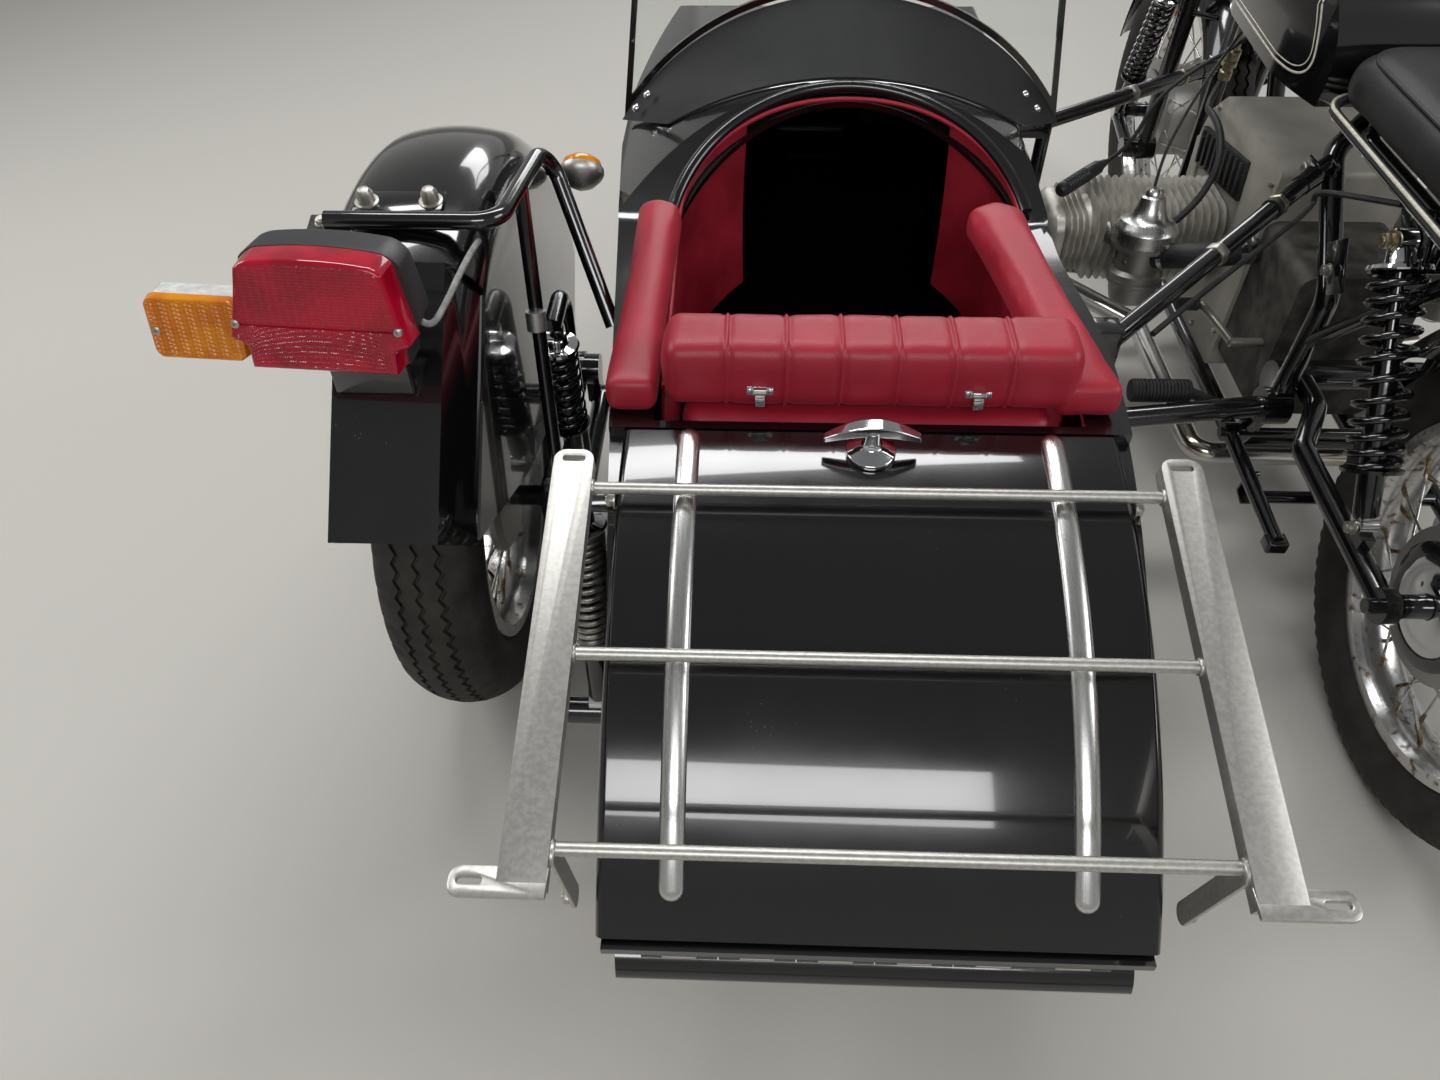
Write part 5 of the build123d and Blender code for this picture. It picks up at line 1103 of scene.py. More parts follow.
GUARD_HALF = 0.092
marker_at = guard_at(GUARD_HALF + 0.042, 0.377, 0.306)
marker_lens = turned("marker_lens", marker_at, (0, 0.8, 0.6),
                     [(0.002, 0), (0.002, 0.030), (0.008, 0.0305), (0.016, 0.028), (0.022, 0.020),
                      (0.0245, 0.010), (0.025, 0)], amber_acrylic, "outfit", 48)
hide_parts("marker_lamp")
turned("marker_bowl", marker_at, (0, 0.8, 0.6),
       [(0.005, 0.0312), (0.005, 0.0332), (-0.001, 0.0335), (-0.008, 0.030), (-0.018, 0.021), (-0.024, 0.010),
        (-0.026, 0)], satin_bar, "outfit", 48)
pipe("marker_stalk",
     [guard_at(0.058, 0.412, 0.300), guard_at(0.075, 0.400, 0.300), marker_at + Vector((-0.004, 0, 0))], 0.006,
     black_enamel, "outfit", 16)

# Sidecar tyre. Vulcanised black rubber, gone brown with dust: four ribs between three zigzag grooves, and
# shoulders cut into blocks.
rubber = weathered("tyre_rubber", "1d1b19", 0.7, ("181716", "37322c"), 40, (0.62, 0.85), spread=(0.35, 0.75))
moulding = node(rubber, "ShaderNodeTexNoise", {"Vector": node(rubber, "ShaderNodeTexCoord").outputs["Object"]},
                Scale=900, Detail=3)
pores = node(rubber, "ShaderNodeBump", {"Height": moulding.outputs[0]}, Strength=0.3, Distance=0.0003)
wire(rubber, pores.outputs[0], shader_of(rubber), "Normal")


def arc_points(first, middle, last, count):
    """Points along the arc through three places of a plane."""
    ox, oy, radius = circle_through(first, middle, last)
    begin = math.atan2(first[1] - oy, first[0] - ox)
    turn = math.remainder(math.atan2(last[1] - oy, last[0] - ox) - begin, math.tau)
    angles = [begin + turn * i / count for i in range(count + 1)]
    return [(ox + radius * math.cos(a), oy + radius * math.sin(a)) for a in angles]


TREAD_DEEP, TREAD_ZIG = 0.0055, 0.0035


def treaded_tyre(name, node_name, centre, outer, width, flange, bead, body, grooves, zigzags, blocks):
    """Tyre built ring by ring. Its grooves zigzag round the tread, and its shoulders are cut into blocks."""
    shoulder = outer - 0.16 * width
    half = 0.43 * width
    side = bead - 0.0003
    crown_o = (shoulder**2 - outer**2 + half**2) / (2 * (shoulder - outer))
    crown_r = outer - crown_o
    rows = []
    for x in (-half, -0.93 * half, -0.8 * half, -0.68 * half):
        rows.append((x, 0.0, 0.0))
    for g in grooves:
        for dx, drop in ((-0.0031, 0.0), (-0.0022, TREAD_DEEP), (0.0022, TREAD_DEEP), (0.0031, 0.0)):
            rows.append((g * half + dx, drop, 1.0))
    for x in (0.68 * half, 0.8 * half, 0.93 * half, half):
        rows.append((x, 0.0, 0.0))
    flank = arc_points((half, shoulder), (width / 2, (flange + shoulder) / 2), (side, flange), 12)[1:]
    columns = zigzags * 4
    mesh = bmesh.new()
    rings = []
    for c in range(columns):
        angle = math.tau * c / columns
        phase = (c % 4) / 4
        wave = TREAD_ZIG * (1 - 4 * abs(phase - 0.5))
        block = c % (4 * blocks)
        ring = []
        for i, (x, drop, follow) in enumerate(rows):
            px = x + wave * follow
            r = crown_o + math.sqrt(crown_r**2 - px * px)
            edge_row = i < 3 or i >= len(rows) - 3
            if edge_row and block in (0, 1):
                drop = TREAD_DEEP * 0.7
            ring.append((px, r - drop))
        right = [(x, r - (0.003 if j < 2 and block in (0, 1) else 0)) for j, (x, r) in enumerate(flank)]
        left = [(-x, r) for x, r in reversed(right)]
        loop = left + ring + right + [(side, flange - 0.0157), (-side, flange - 0.0157)]
        rings.append([mesh.verts.new((x, r * math.cos(angle), r * math.sin(angle))) for x, r in loop])
    skin(mesh, rings + [rings[0]], ends=False)
    tyre = object_of(name, mesh)
    tyre.location = centre
    in_place(tyre, body, rubber, angle=28)
    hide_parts(node_name)


# outer radius, tyre's width, flange radius and half the distance between the beads
SIDE_SIZE = (SIDE_TYRE_R, 0.135, 0.207, 0.050)
treaded_tyre("side_tyre_tread", "sidecar_tyre", guard_at(0, 0, 0), *SIDE_SIZE, "sidecar_wheel_set",
             (-0.46, 0.0, 0.46), 80, 2)

# Sidecar wheel. A chromed steel rim laced with forty spokes to a turned hub. The spokes and their brass nipples
# have rusted a little.
steel_rim = weathered("rusted_chrome", "c4c4c3", 0.2, ("7d6a58", "cfcfce"), 14, (0.35, 0.12), metal=1.0,
                      spread=(0.32, 0.44))
hub_metal = grained("cast_aluminium", "a9a8a4", 0.45, 1.4, 0.4, 0.12, (0.38, 0.55), metal=1.0)
brass = weathered("tarnished_brass", "8f7d5c", 0.4, ("665040", "a2916e"), 5, (0.34, 0.55), metal=1.0)


SPOKES, SPOKE_R, NIPPLE_R = 40, 0.0019, (0.0026, 0.0038)


def laced(prefix, node_name, centre, size, hub, flange_x, flange_r, body):
    """Rim, hub, crossed spokes and nipples of one wheel. Its size is (outer, width, flange, bead)."""
    _, _, flange, bead = size
    bed = flange - 0.016
    lip = bead + 0.004
    roll = [(-lip, flange - 0.0015), (-lip + 0.0015, flange), (-bead - 0.0003, flange - 0.0008), (-bead, bed),
            (bead, bed), (bead + 0.0003, flange - 0.0008), (lip - 0.0015, flange), (lip, flange - 0.0015),
            (lip, bed - 0.002), (0.86 * bead, bed - 0.0065), (0.6 * bead, bed - 0.012),
            (-0.6 * bead, bed - 0.012), (-0.86 * bead, bed - 0.0065), (-lip, bed - 0.002),
            (-lip, flange - 0.0015)]
    rim = turned(f"{prefix}_rim", centre, (1, 0, 0), roll, steel_rim, body, 128, 40)
    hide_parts(node_name)
    turned(f"{prefix}_hub", centre, (1, 0, 0), hub, hub_metal, body, 72, 30)
    mesh = bmesh.new()
    lugs = bmesh.new()
    for i in range(SPOKES):
        side = 1 if i % 2 else -1
        cross = math.radians(18 if i % 4 < 2 else -18)
        at_rim = math.tau * i / SPOKES
        seat = flange_r - 0.003
        root = Vector((side * flange_x, seat * math.cos(at_rim + cross), seat * math.sin(at_rim + cross)))
        tip = Vector((side * 0.2 * bead, (bed - 0.009) * math.cos(at_rim), (bed - 0.009) * math.sin(at_rim)))
        run = tip - root
        turn = run.to_track_quat("Z", "Y").to_matrix().to_4x4()
        middle = Matrix.Translation((root + tip) / 2)
        nipple = Matrix.Translation(tip - run.normalized() * 0.012)
        for made, ends, long, spot in ((mesh, (SPOKE_R, SPOKE_R), run.length, middle),
                                       (lugs, NIPPLE_R, 0.02, nipple)):
            bmesh.ops.create_cone(made, cap_ends=True, segments=8, radius1=ends[0], radius2=ends[1], depth=long,
                                  matrix=spot @ turn)
    for suffix, made, material in (("spokes", mesh, steel_rim), ("nipples", lugs, brass)):
        piece = object_of(f"{prefix}_{suffix}", made)
        piece.location = centre
        in_place(piece, body, material, angle=50)


SIDE_HUB = [(-0.048, 0.0), (-0.048, 0.034), (-0.046, 0.040), (-0.042, 0.046), (-0.038, 0.074), (-0.036, 0.076),
            (-0.030, 0.076), (-0.028, 0.074), (-0.026, 0.060), (0.026, 0.060), (0.030, 0.080), (0.032, 0.082),
            (0.040, 0.082), (0.042, 0.080), (0.046, 0.074), (0.048, 0.072), (0.048, 0.0)]
laced("side", "sidecar_wheel", guard_at(0, 0, 0), SIDE_SIZE, SIDE_HUB, 0.034, 0.076, "sidecar_wheel_set")

# Fuel tank. Pressed steel, sprayed black, with knee-height sides. A double pinstripe in off-white enamel is
# lined by hand round each side, and the filler is closed by a chromed cap.
tank_shell = smoothed("fuel_tank", "tank_shell", black_enamel, 45)
tank_tree = BVHTree.FromPolygons([v.co for v in tank_shell.data.vertices],
                                 [p.vertices for p in tank_shell.data.polygons])
pinstripe = weathered("off_white_enamel", "d8d2c0", 0.25, ("c9c3b2", "e0dac9"), 8, (0.2, 0.35), coat=0.6)


def rounded_path(corners, turns=4):
    """Corner-cut path through its first and last points."""
    for _ in range(turns):
        cut = [corners[0]]
        for here, there in zip(corners, corners[1:]):
            cut.append(tuple(a * 0.75 + b * 0.25 for a, b in zip(here, there)))
            cut.append(tuple(a * 0.25 + b * 0.75 for a, b in zip(here, there)))
        corners = cut + [corners[-1]]
    return corners


def painted_line(name, side, route, wide):
    """Ribbon of paint on the tank's side, found by a ray from beside the tank."""
    mesh = bmesh.new()
    rows = []
    spots = []
    for y, z in route:
        spot, normal, _, _ = tank_tree.ray_cast(Vector((BIKE_X + side * 0.4, AXLE_Y + y, z)),
                                                Vector((-side, 0, 0)))
        if spot is not None:
            spots.append((spot, normal))
    for i, (spot, normal) in enumerate(spots):
        ahead = spots[min(i + 1, len(spots) - 1)][0] - spots[max(i - 1, 0)][0]
        across = ahead.cross(normal).normalized() * wide / 2
        rows.append([mesh.verts.new(spot + across * a + normal * b)
                     for a, b in ((-1, -0.001), (-0.9, 0.0004), (0.9, 0.0004), (1, -0.001))])
    skin(mesh, rows)
    line = object_of(name, mesh)
    in_place(line, "outfit", pinstripe, angle=180)


for side, word in SIDES:
    for inset, wide, which in ((0.0, 0.0036, "outer"), (0.008, 0.0018, "inner")):
        route = rounded_path([(0.715 + inset, 0.868 - inset), (0.672 + inset, 0.800),
                              (0.650 + inset, 0.712 + inset), (0.770, 0.718 + inset), (0.950, 0.728 + inset),
                              (1.090 - inset, 0.737 + inset), (1.116 - inset, 0.790),
                              (1.095 - inset, 0.862 - inset)])
        painted_line(f"pinstripe_{which}_{word}", side, route, wide)
turned("filler_cap", bike_at(0, 0.985, 0.893), (0, 0.04, 1),
       [(-0.004, 0), (-0.004, 0.030), (0.004, 0.031), (0.010, 0.031), (0.013, 0.028), (0.015, 0.016),
        (0.016, 0)], chrome, "outfit", 48)

# Motorcycle seat. Foam on a steel pan under satin black leatherette, with a piped edge round its top and a
# trim of two bright strips round its foot.
black_hide, shader = finish("black_leatherette", "1b1b1c", 0.5)
pebbled(black_hide, shader, 620, 0.35, 0.0005)
haze(black_hide, shader, mottle(black_hide, shader, "171718", "242425", 90), 0.42, 0.6)


def round_outline(half, rear, front, radius, steps=8):
    """Rectangle with round corners, seen from above, counter-clockwise, from the motorcycle's middle plane."""
    corners = ((half - radius, rear + radius, -90), (half - radius, front - radius, 0),
               (radius - half, front - radius, 90), (radius - half, rear + radius, 180))
    outline = []
    for x, y, begin in corners:
        for i in range(steps + 1):
            turn = math.radians(begin + 90 * i / steps)
            outline.append((BIKE_X + x + radius * math.cos(turn), AXLE_Y + y + radius * math.sin(turn)))
    return outline


SADDLE_HALF, SADDLE_REAR, SADDLE_FRONT = 0.132, -0.116, 0.616
saddle_outline = round_outline(SADDLE_HALF, SADDLE_REAR, SADDLE_FRONT, 0.06)
saddle = crowned_pad("saddle_pad", saddle_outline, 0.7165, 0.784, 0.024, black_hide, voxel=0.008)
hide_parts("bike_seat")
# name, material, slot, how far it stands out of the pad's outline, height, and radius of each rod
SADDLE_TRIMS = (
    ("saddle_skirt", black_hide, "black_vinyl", 0.0, 0.7085, 0.0068),
    ("saddle_trim_low", chrome, "chrome", 0.003, 0.7035, 0.0022),
    ("saddle_trim_high", pinstripe, "chrome", 0.0035, 0.7135, 0.0026),
    ("saddle_piping", black_hide, "black_vinyl", -0.019, 0.783, 0.0028),
)
for name, material, slot, grow, height, radius in SADDLE_TRIMS:
    outline = round_outline(SADDLE_HALF + grow, SADDLE_REAR - grow, SADDLE_FRONT + grow, 0.06)
    ring = [Vector((x, y, height)) for x, y in outline]
    pipe(name, ring + [ring[0]], radius, material, "outfit", 12, 3)

# Engine. A die-cast aluminium case, blasted to a soft warm grey, with a plain ribbed plate screwed to its side.
# The gearbox behind it is the same aluminium, coloured dark as painted shade for the shadow it sits in.
cast_grey, shader = finish("blasted_casting", "aaa69d", 0.55, metal=0.2)
grain(cast_grey, shader, 1.2, 0.3, 4.0, depth_mm=0.1)
haze(cast_grey, shader, mottle(cast_grey, shader, "a39f96", "b3afa6", 60), 0.48, 0.62)
fin_alloy, shader = finish("bead_blasted_fins", "c4c1b9", 0.42, metal=0.4)
grain(fin_alloy, shader, 1.0, 0.25, 4.0, depth_mm=0.08)
haze(fin_alloy, shader, mottle(fin_alloy, shader, "b1ada4", "d0cdc5", 25), 0.36, 0.5)
engine_case = smoothed("engine_block", "engine_case", cast_grey, 40)
soften(engine_case, 0.016, 5, 50)
# the gearbox's dark colour is painted shade for the shadow behind the engine; its patches drift at random
shade_painted_cast = weathered("shade_painted_casting", "46433f", 0.6, ("2e2c2a", "5d5a54"), 35, (0.5, 0.7), metal=0.2)
smoothed("gearbox", "gearbox_case", shade_painted_cast, 40)
soft_black = weathered("black_moulded_rubber", "19191a", 0.55, ("141415", "262626"), 18, (0.45, 0.68))

PLATE_RIBS, CASE_RIBS = 9, 7
for side, word in SIDES:
    plate_mid = bike_at(side * 0.1075, 0.905, 0.470)
    lean = (math.radians(-9), 0, 0)
    ribs = [brick((0.009, 0.215, 0.066), plate_mid, lean)]
    for i in range(PLATE_RIBS):
        ribs.append(brick((0.006, 0.008, 0.056),
                          plate_mid + Vector((side * 0.006, (i - 4) * 0.0235, -(i - 4) * 0.0037)), lean))
    joined(ribs, f"side_plate_{word}", "outfit", soft_black)
    ribs = []
    for i in range(CASE_RIBS):
        ribs.append(brick((0.012, 0.0045, 0.15),
                          bike_at(side * (0.104 - 0.002 * i), 1.0 + 0.0085 * i, 0.40 - 0.004 * i),
                          (0, math.radians(side * 4), 0)))
    joined(ribs, f"case_ribs_{word}", "outfit", cast_grey, 0.001)
    for i, (y, z) in enumerate(((0.708, 0.53), (0.708, 0.25), (0.99, 0.53), (0.80, 0.205), (0.93, 0.205))):
        hexagon_bolt(f"case_bolt_{word}_{i + 1}", bike_at(side * 0.1052, y, z), (side, 0, 0), 0.010, "outfit",
                     0.6, 0.5)

# Cylinders. Cast alloy barrels and heads with thin cooling fins, rounded at their corners, and smooth covers
# over the valve gear.


def fin_ring(long, tall, radius, steps=7):
    """Round-cornered outline about a cylinder's axis, as forward and up."""
    outline = []
    for y, z, begin in ((1, -1, -90), (1, 1, 0), (-1, 1, 90), (-1, -1, 180)):
        for i in range(steps + 1):
            turn = math.radians(begin + 90 * i / steps)
            outline.append((y * (long / 2 - radius) + radius * math.cos(turn),
                            z * (tall / 2 - radius) + radius * math.sin(turn)))
    return outline


def stacked(name, side, centre, layers, material):
    """Solid whose outline changes layer by layer along a cylinder's axis: (distance, long, tall, radius)."""
    mesh = bmesh.new()
    rings = []
    for x, long, tall, radius in layers:
        rings.append([mesh.verts.new((side * x, centre[0] + y, centre[1] + z))
                      for y, z in fin_ring(long, tall, radius)])
    skin(mesh, rings)
    piece = object_of(name, mesh)
    piece.location = bike_at(0, 0, 0)
    in_place(piece, "outfit", material, angle=35)
    return piece


BARREL_FINS, BARREL_PITCH = 17, 0.0136
HEAD_FINS, HEAD_PITCH = 4, 0.0105
STAGGER = 0.020  # a boxer's cylinders stand this much before or behind their common middle
for side, word in SIDES:
    centre = (0.853 - side * STAGGER, 0.360)
    layers = [(0.1053, 0.118, 0.118, 0.05)]
    for i in range(BARREL_FINS):
        x = 0.114 + BARREL_PITCH * i
        layers += [(x - 0.002, 0.116, 0.112, 0.05), (x - 0.0007, 0.162, 0.148, 0.038), (x, 0.164, 0.150, 0.039),
                   (x + 0.0007, 0.162, 0.148, 0.038), (x + 0.002, 0.116, 0.112, 0.05)]
    layers.append((0.345, 0.108, 0.104, 0.05))
    barrel = stacked(f"barrel_{word}", side, centre, layers, fin_alloy)
    if side < 0:
        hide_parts("cylinders")
    layers = [(0.340, 0.12, 0.09, 0.03)]
    for i in range(HEAD_FINS):
        x = 0.346 + HEAD_PITCH * i
        layers += [(x - 0.002, 0.128, 0.092, 0.03), (x - 0.0008, 0.164, 0.110, 0.028), (x, 0.166, 0.112, 0.03),
                   (x + 0.0008, 0.164, 0.110, 0.028), (x + 0.002, 0.128, 0.092, 0.03)]
    layers += [(0.384, 0.150, 0.100, 0.03), (0.386, 0.152, 0.102, 0.03), (0.399, 0.150, 0.100, 0.03),
               (0.407, 0.138, 0.088, 0.028), (0.413, 0.110, 0.062, 0.022), (0.415, 0.07, 0.03, 0.012)]
    stacked(f"head_{word}", side, centre, layers, fin_alloy)

# Carburettors. Die-cast zinc bodies with a plated stepped dome on top, a float bowl held by a wire clip, and a
# black rubber hose to the air box, held by worm-drive clamps.
CARB_LONG, CARB_WIDE = 1.225, 1.6
CARB_Y = {"left": 0.786, "right": 0.746}


def swollen(outline):
    """Turned outline of a carburettor, drawn at its full size."""
    return [(along * CARB_LONG, radius * CARB_WIDE) for along, radius in outline]


for side, word in SIDES:
    base_y = CARB_Y[word]
    foot = bike_at(side * 0.262, base_y - 0.048, 0.292)
    top = bike_at(side * 0.260, base_y - 0.010, 0.490)
    up = (top - foot).normalized()
    tall = (top - foot).length
    dome = turned(f"carb_dome_{word}", foot, up,
                  swollen([(0.088, 0), (0.088, 0.0335), (0.100, 0.0345), (0.102, 0.034), (0.1045, 0.0345),
                           (0.107, 0.034), (0.112, 0.031), (0.118, 0.0275), (0.120, 0.022), (0.126, 0.018),
                           (0.138, 0.0145), (0.150, 0.0125), (0.152, 0.0095), (0.158, 0.009), (0.162, 0.0065),
                           (0.162, 0)]), polished_strip, "outfit", 48)
    if side < 0:
        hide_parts("carburettors")
    turned(f"carb_body_{word}", foot, up,
           swollen([(0.030, 0), (0.030, 0.026), (0.045, 0.0285), (0.050, 0.024), (0.078, 0.024),
                    (0.080, 0.0315), (0.0885, 0.0325), (0.0885, 0)]), hub_metal, "outfit", 48)
    turned(f"float_bowl_{word}", foot, up,
           swollen([(0.0, 0), (0.0, 0.016), (0.004, 0.0225), (0.020, 0.0255), (0.028, 0.0265), (0.031, 0.0295),
                    (0.034, 0.0295), (0.034, 0)]), hub_metal, "outfit", 40)
    port = foot.lerp(top, 0.40)
    intake = bike_at(side * 0.298, base_y + 0.0265, 0.382)
    turned(f"intake_stub_{word}", port, intake - port,
           [(0.012, 0), (0.012, 0.022), (0.030, 0.022), (0.031, 0.0275), (0.036, 0.0275), (0.037, 0.019),
            (0.055, 0.0185), ((intake - port).length + 0.012, 0.0185), ((intake - port).length + 0.012, 0)],
           hub_metal, "outfit", 36)
    rear = bike_at(side * 0.205, base_y - 0.098, 0.412)
    hose_end = bike_at(side * 0.100, base_y - 0.100, 0.425)
    pipe(f"air_hose_{word}",
         [port + (rear - port) * 0.3, port + (rear - port) * 0.6, rear,
          bike_at(side * 0.150, base_y - 0.105, 0.420), hose_end], 0.0205, soft_black, "outfit",
         28, 8)
    for j, (spot, way) in enumerate(((port + (rear - port) * 0.52, rear - port),
                                     (bike_at(side * 0.128, base_y - 0.104, 0.4225), Vector((side, 0, -0.1))),
                                     (bike_at(side * 0.112, base_y - 0.102, 0.4245), Vector((side, 0, -0.1))))):
        turned(f"hose_clamp_{word}_{j + 1}", spot, way,
               [(-0.0045, 0.0205), (-0.0045, 0.0216), (0.0045, 0.0216), (0.0045, 0.0205)], chrome, "outfit",
               40)
        turned(f"clamp_screw_{word}_{j + 1}", spot + Vector((side * 0.004, -0.006, 0.0235)), (0.2, 1, 0.1),
               [(-0.008, 0), (-0.008, 0.0034), (0.006, 0.0034), (0.006, 0.0042), (0.009, 0.0042), (0.009, 0)],
               zinc_plate, "outfit", 16)
    clip = foot + up * 0.018
    pipe(f"bowl_clip_{word}",
         [clip + Vector((side * 0.0360, 0.008, 0.014)), clip + Vector((side * 0.0375, 0.0, -0.010)),
          clip + Vector((side * 0.015, -0.004, -0.028)), clip + Vector((-side * 0.015, -0.004, -0.028)),
          clip + Vector((-side * 0.0375, 0.0, -0.010)), clip + Vector((-side * 0.0360, 0.008, 0.014))], 0.0013,
         zinc_plate, "outfit", 8, 6)
    turned(f"idle_screw_{word}", port + Vector((side * 0.020, -0.016, 0.0)), (side, -0.5, 0.1),
           [(0, 0), (0, 0.0052), (0.014, 0.0052), (0.015, 0.0042), (0.015, 0)], brass, "outfit",
           20)

# Struts. Painted steel tubes that stay the sidecar to the frame: each is adjusted by a threaded rod that is
# locked by plated hexagon nuts, and ends in a forked eye with a socket screw.
smoothed("upper_struts", "strut_tubes", black_enamel, 40)
smoothed("lower_mounts", "mount_tubes", black_enamel, 40)
brass_zinc = weathered("yellow_zinc", "aea387", 0.34, ("9a8f74", "bdb49c"), 6, (0.28, 0.44), metal=1.0)


def hexagon_sleeve(name, centre, along, wide, long, material):
    """Hexagon nut threaded on a rod, its corners turned off."""
    nut = start("cylinder", name, vertices=6, radius=wide * HEXAGON, depth=long)
    soften(nut, wide * 0.06, 2)
    nut.location = centre
    nut.rotation_euler = Vector(along).to_track_quat("Z", "Y").to_euler()
    in_place(nut, "outfit", material, angle=35)


STRUT_FOOT = Vector((BODY_X + 0.334, AXLE_Y + 0.248, 0.552))
STRUT_HEAD = bike_at(-0.100, 0.585, 0.627)
FRONT_FOOT = Vector((BODY_X + 0.362, AXLE_Y + 0.880, 0.552))
FRONT_HEAD = bike_at(-0.0506, 1.162, 0.540)
for word, foot, head, reach in (("rear", STRUT_FOOT, STRUT_HEAD, 0.056),
                                ("front", FRONT_FOOT, FRONT_HEAD, 0.090)):
    along = (head - foot).normalized()
    lug = [brick((reach, 0.036, 0.044), foot + Vector((0.006 - reach / 2, 0, 0))),
           brick((0.006, 0.070, 0.080), foot + Vector((0.010 - reach, 0, 0)))]
    joined(lug, f"strut_lug_{word}", "outfit", black_enamel, 0.003)
    span = (head - foot).length
    hexagon_sleeve(f"strut_nut_low_{word}", foot + along * span * 0.45, along, 0.0285, 0.016, zinc_plate)
    hexagon_sleeve(f"strut_nut_high_{word}", foot + along * span * 0.74, along, 0.0285, 0.009, brass_zinc)
    turned(f"strut_eye_{word}", head - along * 0.075, along,
           [(0, 0.0128), (0, 0.0145), (0.012, 0.0150), (0.030, 0.0165), (0.034, 0.0128)], black_enamel,
           "outfit", 32)
    cheek = head - along * 0.020
    forked = [brick((0.006, 0.034, 0.030), cheek + Vector((s * 0.0145, 0, 0))) for s in (-1, 1)]
    joined(forked, f"strut_fork_{word}", "outfit", black_enamel, 0.004)
    turned(f"strut_screw_{word}", cheek + Vector((-0.0175, 0, 0)), (-1, 0, 0),
           [(0, 0), (0, 0.0098), (0.009, 0.0098), (0.010, 0.0088), (0.010, 0.0052), (0.005, 0.0048),
            (0.005, 0)], zinc_plate, "outfit", 24)
hexagon_bolt("lower_mount_bolt", bike_at(-0.129, 0.440, 0.296), (-1, 0, 0), 0.022, "outfit", 0.8, 0.6,
             brass_zinc)
hexagon_bolt("front_mount_bolt", bike_at(-0.129, 1.022, 0.173), (-1, 0, 0), 0.022, "outfit", 0.8, 0.6,
             brass_zinc)

# Spring units. Telescopic dampers with open coil springs: the coils are wound from steel rod and sprayed gloss
# black, the caps and eyes are chromed. The sidecar body's own spring is plain bright steel, closely wound.


COIL_STEPS, COIL_SIDES = 22, 9  # points of a coil per turn, and round its rod


def coil(name, low, high, radius, thick, turns, material, body):
    """Helix of round rod between two points, with its end turns closed up."""
    axis = high - low
    turn_to = axis.to_track_quat("Z", "Y").to_matrix()
    slope = axis.length / (turns * math.tau * radius)
    mesh = bmesh.new()
    count = int(turns * COIL_STEPS)
    rings = []
    for i in range(count + 1):
        share = i / count
        angle = share * turns * math.tau
        rise = share - 0.035 * math.sin(share * math.tau)
        middle = Vector((radius * math.cos(angle), radius * math.sin(angle), rise * axis.length))
        out = Vector((math.cos(angle), math.sin(angle), 0))
        along = Vector((-math.sin(angle), math.cos(angle), slope)).normalized()
        over = along.cross(out)
        round_rod = (math.tau * j / COIL_SIDES for j in range(COIL_SIDES))
        spots = (middle + thick * (math.cos(t) * out + math.sin(t) * over) for t in round_rod)
        rings.append([mesh.verts.new(low + turn_to @ spot) for spot in spots])
    skin(mesh, rings)
    piece = object_of(name, mesh)
    in_place(piece, body, material, angle=60)
    return piece


gloss_black = grained("gloss_black_powder", "0c0c0d", 0.14, 2.5, 0.08, 0.05, (0.1, 0.22), coat=1.0)


def spring_unit(prefix, node_name, low, high, radius, thick, turns, tube, body, coil_metal, first=True,
                foot=0.325):
    """Damper tube, rod, seats, cap, eyes and the coil round them."""
    run = high - low
    tall = run.length
    coil_low, coil_high = low + run * foot, low + run * 0.895
    wound = coil(f"{prefix}_coil", coil_low, coil_high, radius - thick, thick, turns, coil_metal, body)
    if first:
        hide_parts(node_name)
    turned(f"{prefix}_tube", low, run,
           [(0.006, 0), (0.006, tube * 0.8), (0.014, tube), (foot * tall - 0.008, tube),
            (foot * tall - 0.007, radius + 0.001), (foot * tall - 0.002, radius + 0.002),
            (foot * tall - 0.001, tube * 0.95), (0.62 * tall, tube * 0.92), (0.63 * tall, tube * 0.5),
            (0.9 * tall, tube * 0.5), (0.9 * tall, 0)], gloss_black, body, 40)
    turned(f"{prefix}_cap", low, run,
           [(0.897 * tall, 0), (0.897 * tall, radius + 0.002), (0.903 * tall, radius + 0.003),
            (0.915 * tall, radius + 0.001), (0.925 * tall, tube * 1.15), (0.965 * tall, tube * 1.05),
            (0.985 * tall, tube * 0.7), (tall, tube * 0.55), (tall, 0)], chrome, body, 48)
    for end_name, spot in (("low", low + run.normalized() * 0.002), ("high", high - run.normalized() * 0.002)):
        turned(f"{prefix}_eye_{end_name}", spot, (1, 0, 0),
               [(-0.0125, 0.0), (-0.0125, 0.0085), (-0.0115, 0.0125), (-0.0105, tube * 0.98),
                (0.0105, tube * 0.98), (0.0115, 0.0125), (0.0125, 0.0085), (0.0125, 0.0)], chrome, body,
               36)


